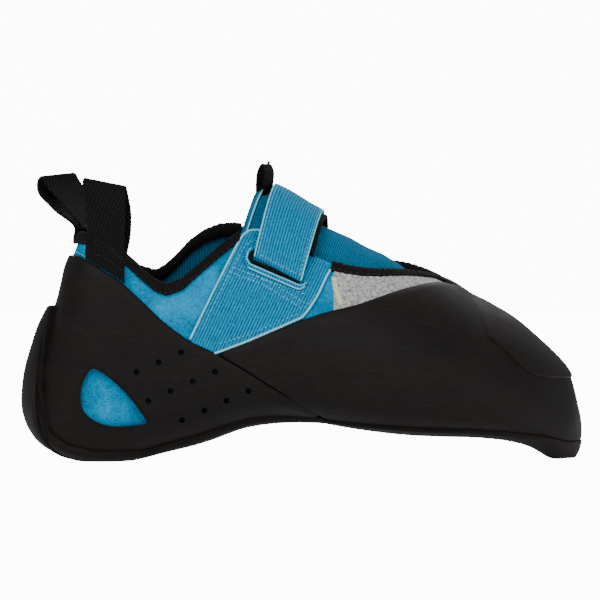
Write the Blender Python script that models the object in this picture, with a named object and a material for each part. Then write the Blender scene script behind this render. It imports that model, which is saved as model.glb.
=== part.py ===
"""Right climbing shoe with a turned-down toe: lasted upper, rubber rands and soles, strap, tongue and loops.

Metres, +Z up, +X towards the toe, +Y towards the inner side of the foot. The floor is z = 0 and the origin is the
middle of the shoe's box on the floor. All curved pieces are cut from one last: sections across the foot give its
surface, and each piece is the skin between two distances from that surface.
"""

import math

import bmesh
import bpy
import numpy as np

# Driving sizes of the finished shoe
SHOE_LENGTH = 0.250
BALL_WIDTH = 0.092
INSTEP_RISE = 0.1111

# Thicknesses of the materials
UPPER_WALL = 0.0018
INSOLE_THICKNESS = 0.0016
RAND_THICKNESS = 0.0020
SOLE_THICKNESS = 0.0040
ARCH_SOLE_THICKNESS = 0.0033
HEEL_SOLE_THICKNESS = 0.0020
ARCH_HEEL_SOLE_THICKNESS = 0.0013
TOE_CAP_THICKNESS = 0.0008
PANEL_THICKNESS = 0.0009
BASE_THICKNESS = 0.0012
STRAP_THICKNESS = 0.0016
LINING_THICKNESS = 0.0012
TONGUE_THICKNESS = 0.0022
BINDING_THICKNESS = 0.0009
WEBBING_THICKNESS = 0.0012

# Clearances between pieces, and the small sizes of their edges
FIT_GAP = 0.0005
SEAM_GAP = 0.0005
HEEL_SOLE_GAP = 0.0009
LOOP_GAP = 0.0008
BINDING_GAP = 0.0007
BINDING_DEPTH = 0.0046
LOOP_WIDTH = 0.0190
TAB_WIDTH = 0.0100
TAB_HEIGHT = 0.0120
TAB_LEAN = 0.0010
VENT_RADIUS = 0.0013
SOLE_OVERHANG = 0.0003
TONGUE_DROP = 0.0038
STRAP_RISE = 0.0012
WELD = 1.5e-5
LEVEL_CLEARANCE = 0.5
LEVEL_REACH = 1.4

# The last: its ends and its lowest level follow from the rubber around it
HEEL_END = -SHOE_LENGTH / 2 + FIT_GAP + RAND_THICKNESS + HEEL_SOLE_GAP + HEEL_SOLE_THICKNESS
TOE_END = SHOE_LENGTH / 2 - RAND_THICKNESS - FIT_GAP
LAST_LENGTH = TOE_END - HEEL_END
HALF_WIDTH = BALL_WIDTH / 2 - RAND_THICKNESS - FIT_GAP
LAST_FLOOR = SOLE_THICKNESS + FIT_GAP

# Sections of the last. Columns: along as a share of the last's length from the heel; bottom, widest and top level
# as shares of the instep rise; outer edge, inner edge and ridge as shares of the half width; roundness of the
# crown and of the base.
SECTIONS = (
    (0.0000, 0.200, 0.200, 0.200, -0.069, -0.069, -0.069, 2.2, 2.8),
    (0.0058, 0.130, 0.204, 0.319, -0.265, 0.128, -0.069, 2.2, 2.8),
    (0.0165, 0.087, 0.208, 0.399, -0.391, 0.254, -0.069, 2.2, 2.8),
    (0.0288, 0.059, 0.210, 0.479, -0.483, 0.346, -0.069, 2.2, 2.9),
    (0.0477, 0.033, 0.212, 0.563, -0.577, 0.439, -0.069, 2.2, 3.0),
    (0.0757, 0.010, 0.216, 0.789, -0.654, 0.517, -0.069, 2.2, 3.2),
    (0.1168, -0.003, 0.225, 0.969, -0.692, 0.555, -0.069, 2.3, 3.3),
    (0.1660, 0.000, 0.235, 1.023, -0.706, 0.576, -0.069, 2.3, 3.1),
    (0.2360, 0.036, 0.250, 1.050, -0.724, 0.585, -0.066, 2.3, 2.8),
    (0.3100, 0.077, 0.270, 1.060, -0.750, 0.575, -0.060, 2.2, 2.6),
    (0.3800, 0.129, 0.290, 1.040, -0.782, 0.572, -0.050, 2.1, 2.5),
    (0.4377, 0.148, 0.290, 1.000, -0.826, 0.588, -0.020, 2.0, 2.5),
    (0.5090, 0.146, 0.285, 0.912, -0.892, 0.641, 0.050, 2.0, 2.6),
    (0.5820, 0.123, 0.265, 0.840, -0.958, 0.755, 0.110, 2.0, 2.8),
    (0.6720, 0.102, 0.245, 0.747, -1.000, 0.904, 0.190, 2.0, 3.0),
    (0.7460, 0.095, 0.230, 0.675, -0.984, 0.984, 0.260, 2.0, 3.1),
    (0.8200, 0.088, 0.205, 0.571, -0.870, 1.000, 0.330, 2.0, 3.2),
    (0.8740, 0.071, 0.180, 0.501, -0.700, 0.973, 0.380, 2.1, 3.3),
    (0.9190, 0.038, 0.150, 0.420, -0.480, 0.915, 0.420, 2.1, 3.4),
    (0.9520, -0.006, 0.112, 0.353, -0.265, 0.850, 0.440, 2.1, 3.4),
    (0.9765, -0.016, 0.084, 0.290, -0.060, 0.767, 0.450, 2.1, 3.2),
    (0.9914, -0.004, 0.074, 0.180, 0.150, 0.680, 0.450, 2.1, 3.0),
    (1.0000, 0.070, 0.070, 0.070, 0.440, 0.440, 0.440, 2.1, 3.0),
)

# Seam lines in the side view. Columns: along as a share of the shoe's length from the heel, up as a share of the
# instep rise above the floor.
OUTER_TOPLINE = (
    (0.000, 0.902), (0.090, 0.902), (0.125, 0.892), (0.160, 0.862), (0.190, 0.812), (0.216, 0.758),
    (0.240, 0.712), (0.262, 0.693), (0.290, 0.716), (0.317, 0.772), (0.353, 0.842), (0.380, 0.890),
    (0.405, 0.915), (0.430, 0.912), (0.458, 0.885), (0.500, 0.833), (0.545, 0.788), (0.594, 0.757),
    (0.640, 0.748), (0.690, 0.742), (0.722, 0.735), (0.744, 0.726), (0.753, 0.722),
)
INNER_TOPLINE = (
    (0.000, 0.902), (0.090, 0.902), (0.125, 0.897), (0.160, 0.868), (0.190, 0.824), (0.216, 0.788),
    (0.240, 0.765), (0.262, 0.762), (0.290, 0.790), (0.317, 0.836), (0.353, 0.890), (0.390, 0.918),
    (0.430, 0.910), (0.470, 0.880), (0.520, 0.836), (0.594, 0.782), (0.660, 0.752), (0.722, 0.737),
    (0.744, 0.727), (0.753, 0.722),
)
RAND_TOP = (
    (0.346, 0.420), (0.400, 0.452), (0.450, 0.486), (0.502, 0.548), (0.549, 0.585), (0.595, 0.610),
    (0.640, 0.640), (0.683, 0.668), (0.709, 0.678), (0.740, 0.681), (0.764, 0.672),
)
HEEL_SEAM = ((0.346, 0.412), (0.440, 0.292), (0.538, 0.170))
HEEL_TOP = (
    (0.000, 0.797), (0.086, 0.797), (0.121, 0.762), (0.175, 0.693), (0.213, 0.620), (0.251, 0.545),
    (0.298, 0.468), (0.346, 0.412),
)
SOLE_LINE = (
    (0.538, 0.170), (0.600, 0.156), (0.700, 0.141), (0.780, 0.135), (0.850, 0.122), (0.920, 0.098),
    (0.965, 0.070), (1.000, 0.066),
)
HEEL_SOLE_LINE = (
    (0.000, 0.240), (0.027, 0.237), (0.043, 0.136), (0.087, 0.064), (0.140, 0.038), (0.220, 0.040),
    (0.260, 0.068), (0.320, 0.104), (0.363, 0.138), (0.408, 0.166), (0.438, 0.175), (0.472, 0.174),
    (0.538, 0.166),
)
CAP_SEAM = (
    (0.812, 0.512), (0.845, 0.455), (0.872, 0.392), (0.900, 0.345), (0.935, 0.328), (0.968, 0.322),
    (1.000, 0.318),
)
PANEL_RANGE = (0.553, 0.735)
PANEL_SLANT = ((0.60, 1.0), (0.66, 1.3), (0.72, 1.6))
BASE_TOP = (
    (0.296, 0.474), (0.330, 0.640), (0.365, 0.790), (0.390, 0.862), (0.408, 0.888), (0.430, 0.884),
    (0.458, 0.858), (0.500, 0.806), (0.530, 0.770), (0.545, 0.728),
)
BASE_BOTTOM = (
    (0.296, 0.466), (0.320, 0.440), (0.344, 0.422), (0.400, 0.456), (0.450, 0.493), (0.500, 0.553),
    (0.520, 0.620), (0.545, 0.722),
)
WINDOW = (
    (0.123, 0.351), (0.109, 0.305), (0.103, 0.247), (0.106, 0.196), (0.119, 0.158), (0.140, 0.132),
    (0.166, 0.121), (0.194, 0.124), (0.221, 0.136), (0.207, 0.194), (0.187, 0.252), (0.162, 0.306),
    (0.139, 0.343),
)
# Rows of vents. Columns: along and up of the first vent, number of vents; the rest follow by VENT_STEP.
VENT_ROWS = ((0.2815, 0.409, 3), (0.3400, 0.335, 4), (0.3990, 0.263, 4))
VENT_STEP = (-0.0400, -0.0395)

# Half of the throat's opening as degrees from the ridge. Columns: along, degrees.
THROAT = (
    (0.420, 18.0), (0.460, 19.5), (0.500, 23.0), (0.545, 27.0), (0.575, 28.5), (0.600, 28.5), (0.628, 26.5),
    (0.660, 21.0), (0.690, 14.0), (0.708, 9.5), (0.722, 5.0), (0.735, 0.0),
)
THROAT_BLEND = (0.500, 0.545)
THROAT_START = 0.585
THROAT_COLUMNS = (0.768, 0.760, 0.748, 0.735, 0.722, 0.708)
COLLAR_END = 0.352
RAND_CROSSING = ((0.690, 42.0), (0.722, 30.0), (0.748, 18.0), (0.760, 9.0), (0.768, 0.0))
RAND_BLEND = (0.660, 0.700)
BASE_RANGE = (0.302, 0.535)
CAP_START = 0.06

# The climb of the heel sole up the back of the heel: half its width in degrees and its top level
BACK_WRAP = 36.0
BACK_WRAP_TOP = 0.615

# How far down the surface faces where the upper's hem starts, and where the rand starts and the soles grow thick
BASE_FACING = 0.85
RAND_START = 0.360
FULL_HEEL_SOLE = 0.30
FULL_SOLE = 0.70
TOE_SPOT_COLUMNS = (3.03, 3.97)

# Roundness of the edging's rim on its outer and its inner side
RIM_OUTSIDE = 0.5
RIM_INSIDE = 0.8

# Corners of the strap: back and front edge at its foot on the outer side, on the ridge and on the inner side
STRAP_FOOT = ((0.414, 0.772), (0.492, 0.676))
STRAP_RIDGE = (0.452, 0.532)
STRAP_INNER_FOOT = ((0.470, 0.690), (0.550, 0.635))
LINING_SHIFT = (0.004, 0.010)
LINING_START = 1 / 3
STRAP_RAMP = 0.3
STRAP_CROWN = 0.8

# The tongue. Columns: along, and its reach from the ridge in degrees or its swell between the throat's edges
TONGUE_RANGE = (0.422, 0.772)
TONGUE_REACH = ((0.422, 24.0), (0.470, 34.0), (0.540, 42.0), (0.620, 42.0), (0.700, 30.0), (0.772, 16.0))
TONGUE_SWELL = ((0.422, 0.0046), (0.560, 0.0050), (0.630, 0.0044), (0.670, 0.0024), (0.700, 0.0005), (0.772, 0.0))
TONGUE_SIDE = 3.5
TONGUE_ROWS = (0.3, 0.6, 0.92)
TAB_PLACE = 0.430
TAB_SEAT = 0.0011
TAB_TURN = 25.0
# Its side view from leg to leg. Columns: forward, share of its height
TAB_PATH = (
    (-0.0022, 0.0), (-0.0026, 0.4), (-0.0020, 0.85), (-0.0006, 1.0), (0.0008, 0.85), (0.0012, 0.4), (0.0008, 0.0),
)

# The heel loops: place of the middle, lean at the top, height above the edge, and depths of both legs below it
OUTER_LOOP_PLACE = 1.0
OUTER_LOOP_LEAN = (-0.0015, 0.0010, 0.0)
OUTER_LOOP_HEIGHT = 0.0235
OUTER_LOOP_BULGE = 0.0020
INNER_LOOP_PLACE = 1.74
INNER_LOOP_LEAN = (-0.0160, 0.0080, 0.0)
INNER_LOOP_HEIGHT = 0.0230
INNER_LOOP_BULGE = 0.0040
LOOP_OUTSIDE = (0.0100, 0.0066, 0.0033, 0.0)
LOOP_INSIDE = (0.0, 0.0070, 0.0140)
LOOP_RISES = (0.3, 0.72, 1.0)
LOOP_FOLD = 0.0026

# Axes of the two fans of columns that go round the toe and round the heel, as shares of the last, and the height
# of the columns' origins
TOE_AXIS = 0.792
HEEL_AXIS = 0.133
HEART = 0.375
SIDE_COLUMNS = 15
HEEL_COLUMNS = 10
TOE_COLUMNS = 14
# Further rows of the outsole at the spot where the toe stands on the floor
TOE_SPOT = (-43.4, -47.6)
# Tilts of the rows that the pieces share, so that their facets stay parallel
LEVELS = (90.0, 74.0, 59.0, 44.0, 30.0, 16.0, 3.0, -10.0, -23.0, -34.0, -45.5, -50.0, -57.0, -66.0, -77.0, -90.0)


def clear_scene():
    for obj in list(bpy.data.objects):
        bpy.data.objects.remove(obj)


def along_shoe(share):
    """x of a share of the shoe's length from the heel."""
    return (np.asarray(share) - 0.5) * SHOE_LENGTH


def along_last(share):
    """x of a share of the last's length from its heel."""
    return HEEL_END + np.asarray(share) * LAST_LENGTH


def level(share):
    """z of a share of the instep rise above the floor."""
    return np.asarray(share) * INSTEP_RISE


def line_level(line, x):
    """z of a seam line at x."""
    return np.interp(x, along_shoe([row[0] for row in line]), level([row[1] for row in line]))


class Last:
    """The outer surface of the upper, from the sections across the foot."""

    COLUMNS = ("x", "bottom", "widest", "top", "outer", "inner", "ridge", "crown", "base")
    SWAPPED = (0, 3, 2, 1, 5, 4, 6, 7, 8)
    SAMPLES = 60

    def __init__(self):
        rows = np.array(SECTIONS, float)
        rows[:, 0] = along_last(rows[:, 0])
        rows[:, 1:4] = LAST_FLOOR + rows[:, 1:4] * INSTEP_RISE
        rows[:, 4:7] *= HALF_WIDTH
        # The section beyond each end is the mirrored one, so that the ends are round.
        rows = np.vstack([rows[1, self.SWAPPED], rows, rows[-2, self.SWAPPED]])
        steps = np.linalg.norm(np.diff(rows[:, [0, 3, 4, 5]], axis=0), axis=1)
        places = np.concatenate([[0], np.cumsum(steps)])
        slopes = np.gradient(rows, places, axis=0)
        samples = []
        for i in range(1, len(rows) - 2):
            width = places[i + 1] - places[i]
            t = np.linspace(0, 1, self.SAMPLES, endpoint=i == len(rows) - 3)[:, None]
            samples.append(
                (2 * t**3 - 3 * t**2 + 1) * rows[i]
                + (t**3 - 2 * t**2 + t) * width * slopes[i]
                + (3 * t**2 - 2 * t**3) * rows[i + 1]
                + (t**3 - t**2) * width * slopes[i + 1]
            )
        table = np.vstack(samples)
        table[:, 0] = np.maximum.accumulate(table[:, 0])
        self.table = dict(zip(self.COLUMNS, table.T))

    def at(self, x, column):
        return np.interp(x, self.table["x"], self.table[column])

    def outside(self, points):
        """Above 0 where a point is outside the last."""
        x, y, z = points[..., 0], points[..., 1], points[..., 2]
        rise = z - self.at(x, "widest")
        above = rise >= 0
        reach = np.where(above, self.at(x, "top"), 2 * self.at(x, "widest") - self.at(x, "bottom"))
        reach = np.maximum(reach - self.at(x, "widest"), 1e-7)
        power = np.where(above, self.at(x, "crown"), self.at(x, "base"))
        share = np.abs(rise) / reach
        middle = (self.at(x, "outer") + self.at(x, "inner")) / 2
        half = np.maximum((self.at(x, "inner") - self.at(x, "outer")) / 2, 1e-7)
        lean = np.where(above, np.clip(share, 0, 1) ** 1.5, 0) * (self.at(x, "ridge") - middle)
        found = (np.abs(y - middle - lean) / half) ** power + share**power - 1
        ends = (x < self.table["x"][0]) | (x > self.table["x"][-1])
        return np.where(ends, 1.0, found)

    def reach(self, origins, directions):
        """Points where rays from inside meet the surface."""
        low = np.zeros(origins.shape[:-1])
        high = np.full(origins.shape[:-1], SHOE_LENGTH)
        for _ in range(26):
            half = (low + high) / 2
            out = self.outside(origins + directions * half[..., None]) > 0
            low, high = np.where(out, low, half), np.where(out, half, high)
        return origins + directions * ((low + high) / 2)[..., None]

    def axis_point(self, share):
        x = along_last(share)
        top = self.at(x, "ridge")
        middle = (self.at(x, "outer") + self.at(x, "inner")) / 2
        return np.array([x, (top + middle) / 2, LAST_FLOOR + HEART * INSTEP_RISE])


LAST = None


def place(s):
    """Origin and heading of column s. 0 to 1 runs back along the outer side, 1 to 2 round the heel, 2 to 3 forward
    along the inner side and 3 to 4 round the toe."""
    s = np.asarray(s, float) % 4
    toe, heel = LAST.axis_point(TOE_AXIS), LAST.axis_point(HEEL_AXIS)
    share = np.where(s <= 1, s, np.where(s <= 2, 1.0, np.where(s <= 3, 3 - s, 0.0)))
    origin = toe + (heel - toe) * share[..., None]
    stations = np.linspace(HEEL_AXIS, TOE_AXIS, 9)
    origin[..., 1] = np.interp(origin[..., 0], along_last(stations), [LAST.axis_point(a)[1] for a in stations])
    angle = np.where(s <= 1, -90, np.where(s <= 2, -90 - 180 * (s - 1), np.where(s <= 3, 90, 90 - 180 * (s - 3))))
    return origin, np.radians(angle)


def surface(s, tilt):
    """Points and outward normals of the last at columns s and tilts from -90 (under the foot) to 90 degrees."""
    s, tilt = np.broadcast_arrays(np.asarray(s, float), np.asarray(tilt, float))
    origin, heading = place(s)
    heading = np.where(np.abs(tilt) > 89.99, 0.0, heading)
    pitch = np.radians(tilt)
    forward = np.stack([np.cos(pitch) * np.cos(heading), np.cos(pitch) * np.sin(heading), np.sin(pitch)], -1)
    side = np.stack([-np.sin(heading), np.cos(heading), np.zeros_like(heading)], -1)
    rise = np.cross(forward, side)
    small = math.radians(0.35)
    across = [LAST.reach(origin, forward + sign * small * side) for sign in (-1, 1)]
    upward = [LAST.reach(origin, forward + sign * small * rise) for sign in (-1, 1)]
    normal = np.cross(across[1] - across[0], upward[1] - upward[0])
    normal /= np.linalg.norm(normal, axis=-1, keepdims=True)
    normal *= np.sign(np.sum(normal * forward, axis=-1, keepdims=True))
    return LAST.reach(origin, forward), normal


def column_at(share, inner):
    """Column of the outer or inner side at a share of the shoe's length."""
    toe, heel = along_last(TOE_AXIS), along_last(HEEL_AXIS)
    back = (toe - along_shoe(share)) / (toe - heel)
    return 3 - back if inner else back


def all_columns():
    """The columns that every piece shares, once round the shoe from the toe's axis on the outer side."""
    tight = column_at(np.array(THROAT_COLUMNS), False)
    side = np.concatenate([[0.0], tight, np.linspace(tight[-1], 1, SIDE_COLUMNS + 1)[1:]])
    heel = np.linspace(1, 2, HEEL_COLUMNS + 1)[1:]
    toe = np.linspace(3, 4, TOE_COLUMNS + 1)[1:-1]
    return np.concatenate([side, heel, 3 - side[-2::-1], toe])


def columns(start, end):
    """The shared columns from start to end, with both ends. An end past 4 goes on round the toe."""
    shared = all_columns()
    shared = np.concatenate([shared, shared + 4])
    inside = shared[(shared > start + 0.006) & (shared < end - 0.006)]
    return np.concatenate([[start], inside, [end]])


TILTS = np.linspace(90, -90, 91)


def tilt_where(s, line, inner_line=None, distance=0.0):
    """Tilt at which each column comes down to a seam line, seen at a distance from the last.

    It is 90 where the line passes over the foot, and -90 where it passes under it."""
    s = np.atleast_1d(np.asarray(s, float))
    points, normals = surface(s[:, None], TILTS[None, :])
    points = points + normals * distance
    inner_side = (s % 4 > 1.5) & (s % 4 <= 3.5)
    found = []
    for row, inner in zip(points, inner_side):
        used = inner_line if inner_line is not None and inner else line
        height = row[:, 2] - line_level(used, row[:, 0])
        below = np.nonzero(height <= 0)[0]
        if len(below) == 0:
            found.append(-90.0)
        elif below[0] == 0:
            found.append(90.0)
        else:
            k = below[0]
            share = height[k - 1] / (height[k - 1] - height[k])
            found.append(TILTS[k - 1] + share * (TILTS[k] - TILTS[k - 1]))
    return np.array(found)


def share_of(s):
    """Share of the shoe's length at a column's origin."""
    return place(s)[0][..., 0] / SHOE_LENGTH + 0.5


def snapped(tilt):
    """Tilts with those next to the ridge put on it."""
    return np.where(tilt > 89.9, 90.0, tilt)


def on_level(tilt):
    """Tilts with those close to a shared level put on it."""
    nearest = np.array([min(LEVELS, key=lambda known: abs(known - t)) for t in tilt])
    return np.where(np.abs(nearest - tilt) < LEVEL_REACH, nearest, tilt)


def topline(s):
    """Tilt of the collar and throat edge, 90 in front of the throat."""
    share = share_of(s)
    collar = tilt_where(s, OUTER_TOPLINE, INNER_TOPLINE)
    throat = 90 - throat_degrees(share)
    blend = np.interp(share, THROAT_BLEND, [0.0, 1.0])
    return snapped(collar * (1 - blend) + throat * blend)


def drop(s, tilt, distance):
    """Tilts that lie a distance further down each column."""
    start, _ = surface(s, tilt)
    lower, _ = surface(s, tilt - 1.0)
    return tilt - distance / np.linalg.norm(lower - start, axis=-1)


def base_levels(s, facing, extra):
    """For each column the first shared level that faces down enough, moved on by a number of levels."""
    levels = np.array(LEVELS)
    _, normals = surface(np.asarray(s)[:, None], levels[None, :])
    first = np.argmax(normals[..., 2] < -facing, axis=1)
    return levels[np.minimum(first + extra, len(levels) - 2)]


def material(name, colour, roughness):
    made = bpy.data.materials.new(name)
    made.use_nodes = True
    shader = made.node_tree.nodes["Principled BSDF"]
    shader.inputs["Base Color"].default_value = (*colour, 1.0)
    shader.inputs["Roughness"].default_value = roughness
    return made


def solid(name, points, faces, finish):
    """An object from points and faces, welded, with its faces pointing out."""
    mesh = bpy.data.meshes.new(name)
    mesh.from_pydata([tuple(p) for p in points], [], faces)
    work = bmesh.new()
    work.from_mesh(mesh)
    bmesh.ops.remove_doubles(work, verts=work.verts, dist=WELD)
    bmesh.ops.dissolve_degenerate(work, edges=work.edges, dist=WELD / 10)
    bmesh.ops.recalc_face_normals(work, faces=work.faces)
    work.to_mesh(mesh)
    work.free()
    mesh.shade_smooth()
    mesh.set_sharp_from_angle(angle=math.radians(35))
    obj = bpy.data.objects.new(name, mesh)
    obj.data.materials.append(finish)
    bpy.context.scene.collection.objects.link(obj)
    return obj


def rows_of(upper, lower, rims):
    """Tilts down one column with their keys: both edges, the rims between them and the shared levels."""
    def key(tilt, name):
        return "level%g" % tilt if tilt in LEVELS else name

    rows = [(key(t, "rim%d" % k), t) for k, t in enumerate(rims) if lower + 0.01 < t < upper - 0.01]
    fixed = [upper, lower] + [t for _, t in rows]
    rows += [("level%g" % t, t) for t in LEVELS if lower < t < upper and min(abs(t - f) for f in fixed) > LEVEL_CLEARANCE]
    rows.sort(key=lambda row: -row[1])
    return [(key(upper, "upper"), upper)] + rows + [(key(lower, "lower"), lower)]


def stitch_rows(left, right):
    """Faces between two columns as lists of (column, row), level with level."""
    faces = []
    i = j = 0
    while i < len(left) - 1 or j < len(right) - 1:
        both = i < len(left) - 1 and j < len(right) - 1
        if both and left[i + 1][0] == right[j + 1][0]:
            faces.append(((0, i), (1, j), (1, j + 1), (0, i + 1)))
            i, j = i + 1, j + 1
        elif not both and j == len(right) - 1 or both and left[i + 1][1] > right[j + 1][1]:
            faces.append(((0, i), (1, j), (0, i + 1)))
            i += 1
        else:
            faces.append(((0, i), (1, j), (1, j + 1)))
            j += 1
    return faces


def skin(name, s, upper, lower, inside, outside, finish, loop=False, floor=False, rims=()):
    """A piece of sheet on the last: columns s from tilt upper to tilt lower, between two distances from the last.

    The distances are numbers or functions of the columns, tilts and normals. Edges at 90 or -90 degrees are the
    middle of the foot, where the two sides join without a wall. A column that comes twice makes a step."""
    lists = [rows_of(u, l, [rim[k] for rim in rims]) for k, (u, l) in enumerate(zip(upper, lower))]
    starts = np.concatenate([[0], np.cumsum([len(rows) for rows in lists])])
    columns_flat = np.concatenate([np.full(len(rows), c) for c, rows in zip(s, lists)])
    tilts_flat = np.array([tilt for rows in lists for _, tilt in rows])
    base, normals = surface(columns_flat, tilts_flat)
    layers = []
    for offset in (outside, inside):
        distance = offset(columns_flat, tilts_flat, normals) if callable(offset) else offset
        layer = base + normals * np.broadcast_to(distance, tilts_flat.shape)[:, None]
        if floor:
            layer[:, 2] = np.maximum(layer[:, 2], 0.0)
        layers.append(layer)
    size = starts[-1]
    count = len(s)
    faces = []

    def wall(a, b):
        faces.append([a, b, b + size, a + size])

    for i in range(count if loop else count - 1):
        k = (i + 1) % count
        left, right = lists[i], lists[k]
        if s[i] == s[k]:
            short, tall = (i, k) if upper[i] < upper[k] else (k, i)
            for j in range(len(lists[tall]) - 1):
                if lists[tall][j][1] > upper[short] + 0.01:
                    wall(starts[tall] + j, starts[tall] + j + 1)
            continue
        for face in stitch_rows(left, right):
            corners = [starts[(i, k)[side]] + row for side, row in face]
            for j in range(1, len(corners) - 1):
                triangle = [corners[0], corners[j], corners[j + 1]]
                faces.append(triangle)
                faces.append([size + c for c in reversed(triangle)])
        for row, closed in ((0, 90.0), (-1, -90.0)):
            if not (left[row][1] == closed and right[row][1] == closed):
                wall(starts[i] + row % len(left), starts[k] + row % len(right))
    if not loop:
        for i in (0, count - 1):
            for j in range(len(lists[i]) - 1):
                wall(starts[i] + j, starts[i] + j + 1)
    return solid(name, np.concatenate(layers), faces, finish)


def make_upper(finish):
    s = all_columns()
    edge = topline(s)
    bottom = base_levels(s, BASE_FACING, 2)
    hem = np.where(edge > 89.9, -99.0, drop(s, np.minimum(edge, 88.0), BINDING_DEPTH))
    skin("upper", s, edge, bottom, -UPPER_WALL, 0.0, finish, loop=True, rims=[hem])


def make_insole(finish):
    s = all_columns()
    top = -UPPER_WALL - FIT_GAP
    skin("insole", s, base_levels(s, BASE_FACING, 0), np.full(len(s), -90.0), top - INSOLE_THICKNESS, top, finish, loop=True)


def round_toe(share):
    """Columns from a share of the length on the inner side, round the toe, to the outer side."""
    return columns(column_at(share, True), 4 + column_at(share, False))


def round_heel(share):
    """Columns from a share of the length on the outer side, round the heel, to the inner side."""
    return columns(column_at(share, False), column_at(share, True))


def sole_offset(columns_flat, tilts, normals):
    """Sole thickness grows from its edge at the side to the full one where the surface faces down."""
    edge = FIT_GAP + RAND_THICKNESS + SOLE_OVERHANG
    share = points_share(columns_flat, tilts)
    full = FIT_GAP + np.interp(share, [SOLE_LINE[0][0], FULL_SOLE], [ARCH_SOLE_THICKNESS, SOLE_THICKNESS])
    facing = np.clip(-normals[..., 2], 0, 1) ** 1.5
    return edge + (full - edge) * facing


def points_share(columns_flat, tilts):
    """Share of the shoe's length of the last's points."""
    return surface(columns_flat, tilts)[0][..., 0] / SHOE_LENGTH + 0.5


def make_outsole(finish):
    s = round_toe(SOLE_LINE[0][0] + SEAM_GAP / SHOE_LENGTH)
    top = drop(s, tilt_where(s, SOLE_LINE, distance=FIT_GAP + RAND_THICKNESS), SEAM_GAP)
    toe = (s > TOE_SPOT_COLUMNS[0]) & (s < TOE_SPOT_COLUMNS[1])
    rims = [np.where(toe, tilt, 99.0) for tilt in TOE_SPOT]
    skin("outsole", s, top, np.full(len(s), -90.0), FIT_GAP, sole_offset, finish, floor=True, rims=rims)


def heel_sole_edges(s):
    """Tilts of the heel sole's edge at the side of the foot and at the back of the heel."""
    distance = FIT_GAP + RAND_THICKNESS + HEEL_SOLE_GAP
    side = tilt_where(s, HEEL_SOLE_LINE, distance=distance)
    wrap = tilt_where(s, ((0, BACK_WRAP_TOP), (1, BACK_WRAP_TOP)), distance=distance)
    return on_level(side), on_level(wrap)


def make_heel_sole(finish):
    """A thin sole under the heel and arch that also climbs the back of the heel."""
    inside = FIT_GAP + RAND_THICKNESS + HEEL_SOLE_GAP

    def outside(columns_flat, tilts, normals):
        share = points_share(columns_flat, tilts)
        return inside + np.interp(share, [FULL_HEEL_SOLE, SOLE_LINE[0][0]], [HEEL_SOLE_THICKNESS, ARCH_HEEL_SOLE_THICKNESS])

    end = SOLE_LINE[0][0] - SEAM_GAP / SHOE_LENGTH
    low = 1.5 - BACK_WRAP / 180, 1.5 + BACK_WRAP / 180
    outer, back, inner = (
        columns(column_at(end, False), low[0]), columns(*low), columns(low[1], column_at(end, True))
    )
    s = np.concatenate([outer, back, inner])
    side, wrap = heel_sole_edges(s)
    behind = np.zeros(len(s), bool)
    behind[len(outer):len(outer) + len(back)] = True
    skin(
        "heel_sole", s, np.where(behind, wrap, side), np.full(len(s), -90.0), inside, outside, finish,
        floor=True, rims=[side],
    )


def rand_top(s):
    """Tilt of the top edge of the toe rand, 90 where the rand goes over the toes."""
    share = share_of(s)
    edge = tilt_where(s, RAND_TOP, distance=FIT_GAP + RAND_THICKNESS)
    crossing = 90 - np.interp(share, [r[0] for r in RAND_CROSSING], [r[1] for r in RAND_CROSSING])
    blend = np.interp(share, RAND_BLEND, [0.0, 1.0])
    return snapped(edge * (1 - blend) + crossing * blend)


def make_toe_rand(finish):
    s = round_toe(RAND_START)
    share = share_of(s)
    distance = FIT_GAP + RAND_THICKNESS
    behind = share < SOLE_LINE[0][0] - 0.0001
    bottom = np.where(behind, tilt_where(s, HEEL_SEAM, distance=distance), tilt_where(s, SOLE_LINE, distance=distance))
    skin("toe_rand", s, rand_top(s), bottom, FIT_GAP, distance, finish)


def make_heel_rand(finish):
    s = round_heel(SOLE_LINE[0][0] - 2 * SEAM_GAP / SHOE_LENGTH)
    distance = FIT_GAP + RAND_THICKNESS
    seam = drop(s, tilt_where(s, HEEL_SEAM, distance=distance), SEAM_GAP)
    top = np.where(share_of(s) > HEEL_SEAM[0][0], seam, tilt_where(s, HEEL_TOP, distance=distance))
    side, wrap = heel_sole_edges(s)
    wrap = np.where(np.abs(s - 1.5) < BACK_WRAP / 180 + 0.01, wrap, -99.0)
    rand = skin("heel_rand", s, top, np.full(len(s), -90.0), FIT_GAP, distance, finish, rims=[wrap, side])
    for inner in (False, True):
        window = along_shoe([r[0] for r in WINDOW]), level([r[1] for r in WINDOW])
        cut(rand, prism("window_cutter", *window, inner, finish))
        for along, up, count in VENT_ROWS:
            for k in range(count):
                around = np.radians(np.arange(6) * 60)
                x = along_shoe(along + k * VENT_STEP[0]) + VENT_RADIUS * np.cos(around)
                z = level(up + k * VENT_STEP[1]) + VENT_RADIUS * np.sin(around)
                cut(rand, prism("vent_cutter", x, z, inner, finish))


def prism(name, x, z, inner, finish):
    """A cutter with the given outline in the side view, through one side of the shoe."""
    low, high = (HALF_WIDTH * 0.15, BALL_WIDTH) if inner else (-BALL_WIDTH, -HALF_WIDTH * 0.3)
    count = len(x)
    points = [(a, y, b) for y in (low, high) for a, b in zip(x, z)]
    faces = [list(range(count)), list(range(2 * count - 1, count - 1, -1))]
    faces += [[i, (i + 1) % count, count + (i + 1) % count, count + i] for i in range(count)]
    cutter = solid(name, points, faces, finish)
    cutter.hide_render = True
    cutter.display_type = "WIRE"
    return cutter


def cut(obj, cutter):
    modifier = obj.modifiers.new(cutter.name, "BOOLEAN")
    modifier.operation = "DIFFERENCE"
    modifier.solver = "EXACT"
    modifier.object = cutter


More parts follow.
